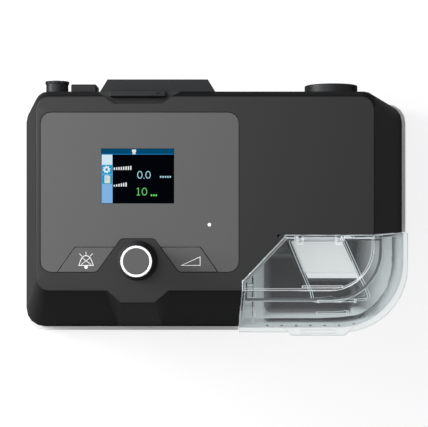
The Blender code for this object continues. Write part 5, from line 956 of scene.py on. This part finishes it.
class MACHINE_OT_tank(bpy.types.Operator):
    """Clear water tank: tub, lid, seal, base plate, air guide and deflector"""

    bl_idname = "machine.tank"
    bl_label = "Water tank"

    def execute(self, context):
        refined_group("tank_polycarbonate", 0.35, "tank_tub", "tank_lid")
        refined("tank_air_guide", "tank_polycarbonate", edge=0.3 * MM)
        refined("inlet_deflector", "frosted_polycarbonate", edge=0.2 * MM)
        refined("tank_seal", "gray_silicone", edge=0.2 * MM)
        refined("tank_base_plate", "base_sheet", edge=0.2 * MM)
        refined("lid_hinge_pin", "turned_steel", edge=0.2 * MM)
        self.paint_edge_highlights()
        self.add_foot_marks()
        self.paint_floor_haze()
        self.add_deflector_rim()
        return {"FINISHED"}

    def paint_edge_highlights(self):
        """Painted highlights: glowing white lines inside the sharp edges of the clear pieces."""
        tree = edge_highlight_tree("painted_edge_highlight")
        for name, share in HIGHLIGHT_PIECES:
            grown(tree, name + "_edges", mesh_of(welded(name), name + "_welded"), name,
                  Radius=sizes().highlight_line * share, Angle=math.radians(HIGHLIGHT_ANGLE))

    def add_foot_marks(self):
        """A row of small studs behind the front wall, and short ribs in the wall along the round corner, which glow
        white as painted highlights.
        """
        left, right = FOOT_STUDS
        line = line_mesh("stud_line", [(left, FOOT_STUD_Y, FOOT_LEVEL), (right, FOOT_STUD_Y, FOOT_LEVEL)])
        grown(row_tree("gray_silicone"), "tank_foot_studs", line, "tank_tub", Pitch=sizes().stud_pitch,
              Block=STUD_SIZE)
        turn = arc(CORNER_CENTRE, CORNER_RADIUS, *(math.radians(end) for end in RIB_ARC), steps=24)
        line = line_mesh("rib_line", [(x, y, FOOT_LEVEL) for x, y in turn])
        grown(row_tree("painted_edge_highlight"), "tank_foot_rib_highlights", line, "tank_tub", Pitch=sizes().rib_pitch,
              Block=RIB_SIZE)

    def paint_floor_haze(self):
        """The milky band of the tank's floor, as a thin glowing sheet in it: painted light."""
        radius = FLOOR_RIGHT - CORNER_CENTRE[0]
        outline = [(FLOOR_LEFT, FLOOR_FRONT), *arc(CORNER_CENTRE, radius, -math.pi / 2, 0, steps=24)]
        outline += [(FLOOR_RIGHT, FLOOR_REAR), *FLOOR_DIAGONAL]
        shape = bmesh.new()
        prism(shape, outline, FLOOR_LOW, FLOOR_HIGH)
        piece_from(tidy(shape), "tank_floor_painted_haze", "floor_painted_haze", "tank", smooth=False)

    def add_deflector_rim(self):
        """The deflector's front rim, and the dark strip on its edge, which is painted shade for the shadow gap
        there.
        """
        for rear, front, finish in RIM_LEVELS:
            shape = bmesh.new()
            start = RIM_REAR_LEFT + RIM_SLANT * (RIM_LEVELS[0][0] - rear)
            end = RIM_REAR_LEFT + RIM_SLANT * (RIM_LEVELS[0][0] - front)
            outline = [(start, rear), (end, front), (end + RIM_WIDTH, front), (start + RIM_WIDTH, rear)]
            prism(shape, outline, RIM_LOW, RIM_HIGH)
            name = "deflector_rim_" + finish
            piece_from(tidy(shape), name, finish, "tank", smooth=False)


class MACHINE_OT_dock(bpy.types.Operator):
    """Dock liner, heater and air port seals"""

    bl_idname = "machine.dock"
    bl_label = "Tank dock"

    def execute(self, context):
        refined("dock_liner", "liner_pp", edge=0.3 * MM)
        refined("heater_plate", "rolled_steel", edge=0.2 * MM)
        refined("heater_pad", "gray_silicone", edge=0.2 * MM)
        refined_group("gray_silicone", 0.3, "inlet_port_seal", "outlet_port_seal")
        return {"FINISHED"}


class MACHINE_OT_rear(bpy.types.Operator):
    """Hose outlet, power inlet, data port cover, wireless module and filter cover"""

    bl_idname = "machine.rear"
    bl_label = "Rear connectors"

    def execute(self, context):
        refined_group("connector_nylon", 0.3, "outlet_collar", "outlet_port", "power_inlet_boss",
                      "data_port_cover", "wireless_module", "filter_cover")
        refined("power_jack", "turned_steel", edge=0.15 * MM)
        refined("cover_hinge_pin", "turned_steel", edge=0.2 * MM)
        refined("air_filter", "filter_felt", edge=0.4 * MM)
        return {"FINISHED"}


class MACHINE_OT_workings(bpy.types.Operator):
    """Blower, ducts and circuit boards inside the casing"""

    bl_idname = "machine.workings"
    bl_label = "Inner workings"

    def execute(self, context):
        refined_group("liner_pp", 0.3, "inlet_plenum", "blower_lower_housing", "blower_upper_housing",
                      "blower_duct", "outlet_duct")
        refined("blower_motor", "turned_steel", edge=0.3 * MM)
        refined("motor_shaft", "turned_steel", edge=0.15 * MM)
        refined("impeller", "impeller_nylon", edge=0.15 * MM)
        refined_group("gray_silicone", 0.3, *starting("blower_mount_"))
        refined_group("board_laminate", 0.1, "control_board", "main_board")
        return {"FINISHED"}


class MACHINE_OT_stage(bpy.types.Operator):
    """White floor, soft lamps from the upper left and the camera looking straight down"""

    bl_idname = "machine.stage"
    bl_label = "Stage"

    def execute(self, context):
        self.make_floor()
        self.make_lamps()
        self.make_camera()
        context.scene.view_settings.view_transform = "Standard"
        return {"FINISHED"}

    def make_floor(self):
        shape = bmesh.new()
        bmesh.ops.create_grid(shape, x_segments=1, y_segments=1, size=SWEEP_HALF)
        mesh = mesh_of(shape, "floor")
        floor = put("floor", mesh)
        floor.location.z = CAD_BOX[0][2]
        made, tree, output = new_material("white_sweep")
        seen = seen_rays(tree)
        lift = add(tree, "ShaderNodeMath", {"operation": "MULTIPLY"}, i0=seen, i1=SWEEP_LIFT).outputs[0]
        paper = add(tree, "ShaderNodeBsdfDiffuse", Color=linear(SWEEP_PAPER)).outputs[0]
        glow = add(tree, "ShaderNodeEmission", Color=(1, 1, 1, 1), Strength=lift).outputs[0]
        both = add(tree, "ShaderNodeAddShader", i0=paper, i1=glow).outputs[0]
        tree.links.new(both, output.inputs[0])
        mesh.materials.append(made)

    def make_lamps(self):
        for name, place, size, power in LAMPS:
            lamp = bpy.data.lights.new(name, "AREA")
            lamp.shape = "DISK"
            lamp.size = size
            lamp.energy = power
            holder = put(name, lamp)
            holder.location = place
            holder.rotation_euler = (-Vector(place)).to_track_quat("-Z", "Y").to_euler()
        world = bpy.data.worlds.new("studio")
        world.use_nodes = True
        tree = world.node_tree
        sky = tree.nodes["Background"]
        sky.inputs["Color"].default_value = (1, 1, 1, 1)
        seen = seen_rays(tree)
        level = add(tree, "ShaderNodeMapRange", Value=seen, i3=WORLD_LEVEL, i4=1.0).outputs[0]
        tree.links.new(level, sky.inputs["Strength"])
        bpy.context.scene.world = world

    def make_camera(self):
        camera = bpy.data.cameras.new("camera")
        camera.sensor_width = SENSOR_WIDTH
        camera.lens = LENS
        camera.clip_start = 0.01
        holder = put("camera", camera)
        holder.location = CAMERA_PLACE
        bpy.context.scene.camera = holder


OPERATORS = (
    MACHINE_OT_casing,
    MACHINE_OT_panel,
    MACHINE_OT_display,
    MACHINE_OT_knob,
    MACHINE_OT_tank,
    MACHINE_OT_dock,
    MACHINE_OT_rear,
    MACHINE_OT_workings,
    MACHINE_OT_stage,
)


class MACHINE_PT_builder(bpy.types.Panel):
    """The machine's colours and sizes, and the steps that build it"""

    bl_idname = "MACHINE_PT_builder"
    bl_label = "Breathing machine"
    bl_space_type = "VIEW_3D"
    bl_region_type = "UI"
    bl_category = "Breathing Machine"

    def draw(self, context):
        for group in (context.scene.machine_colours, context.scene.machine_sizes):
            for name in group.__annotations__:
                self.layout.prop(group, name)
        for operator in OPERATORS:
            self.layout.operator(operator.bl_idname)


CLASSES = (MachineColours, MachineSizes, *OPERATORS, MACHINE_PT_builder)


def register():
    for kind in CLASSES:
        bpy.utils.register_class(kind)
    bpy.types.Scene.machine_colours = PointerProperty(type=MachineColours)
    bpy.types.Scene.machine_sizes = PointerProperty(type=MachineSizes)


def unregister():
    del bpy.types.Scene.machine_sizes
    del bpy.types.Scene.machine_colours
    for kind in reversed(CLASSES):
        bpy.utils.unregister_class(kind)


def main():
    register()
    FINISHES.update(build_finishes())
    bpy.ops.machine.casing()
    bpy.ops.machine.panel()
    bpy.ops.machine.display()
    bpy.ops.machine.knob()
    bpy.ops.machine.tank()
    bpy.ops.machine.dock()
    bpy.ops.machine.rear()
    bpy.ops.machine.workings()
    bpy.ops.machine.stage()


if __name__ == "__main__":
    main()
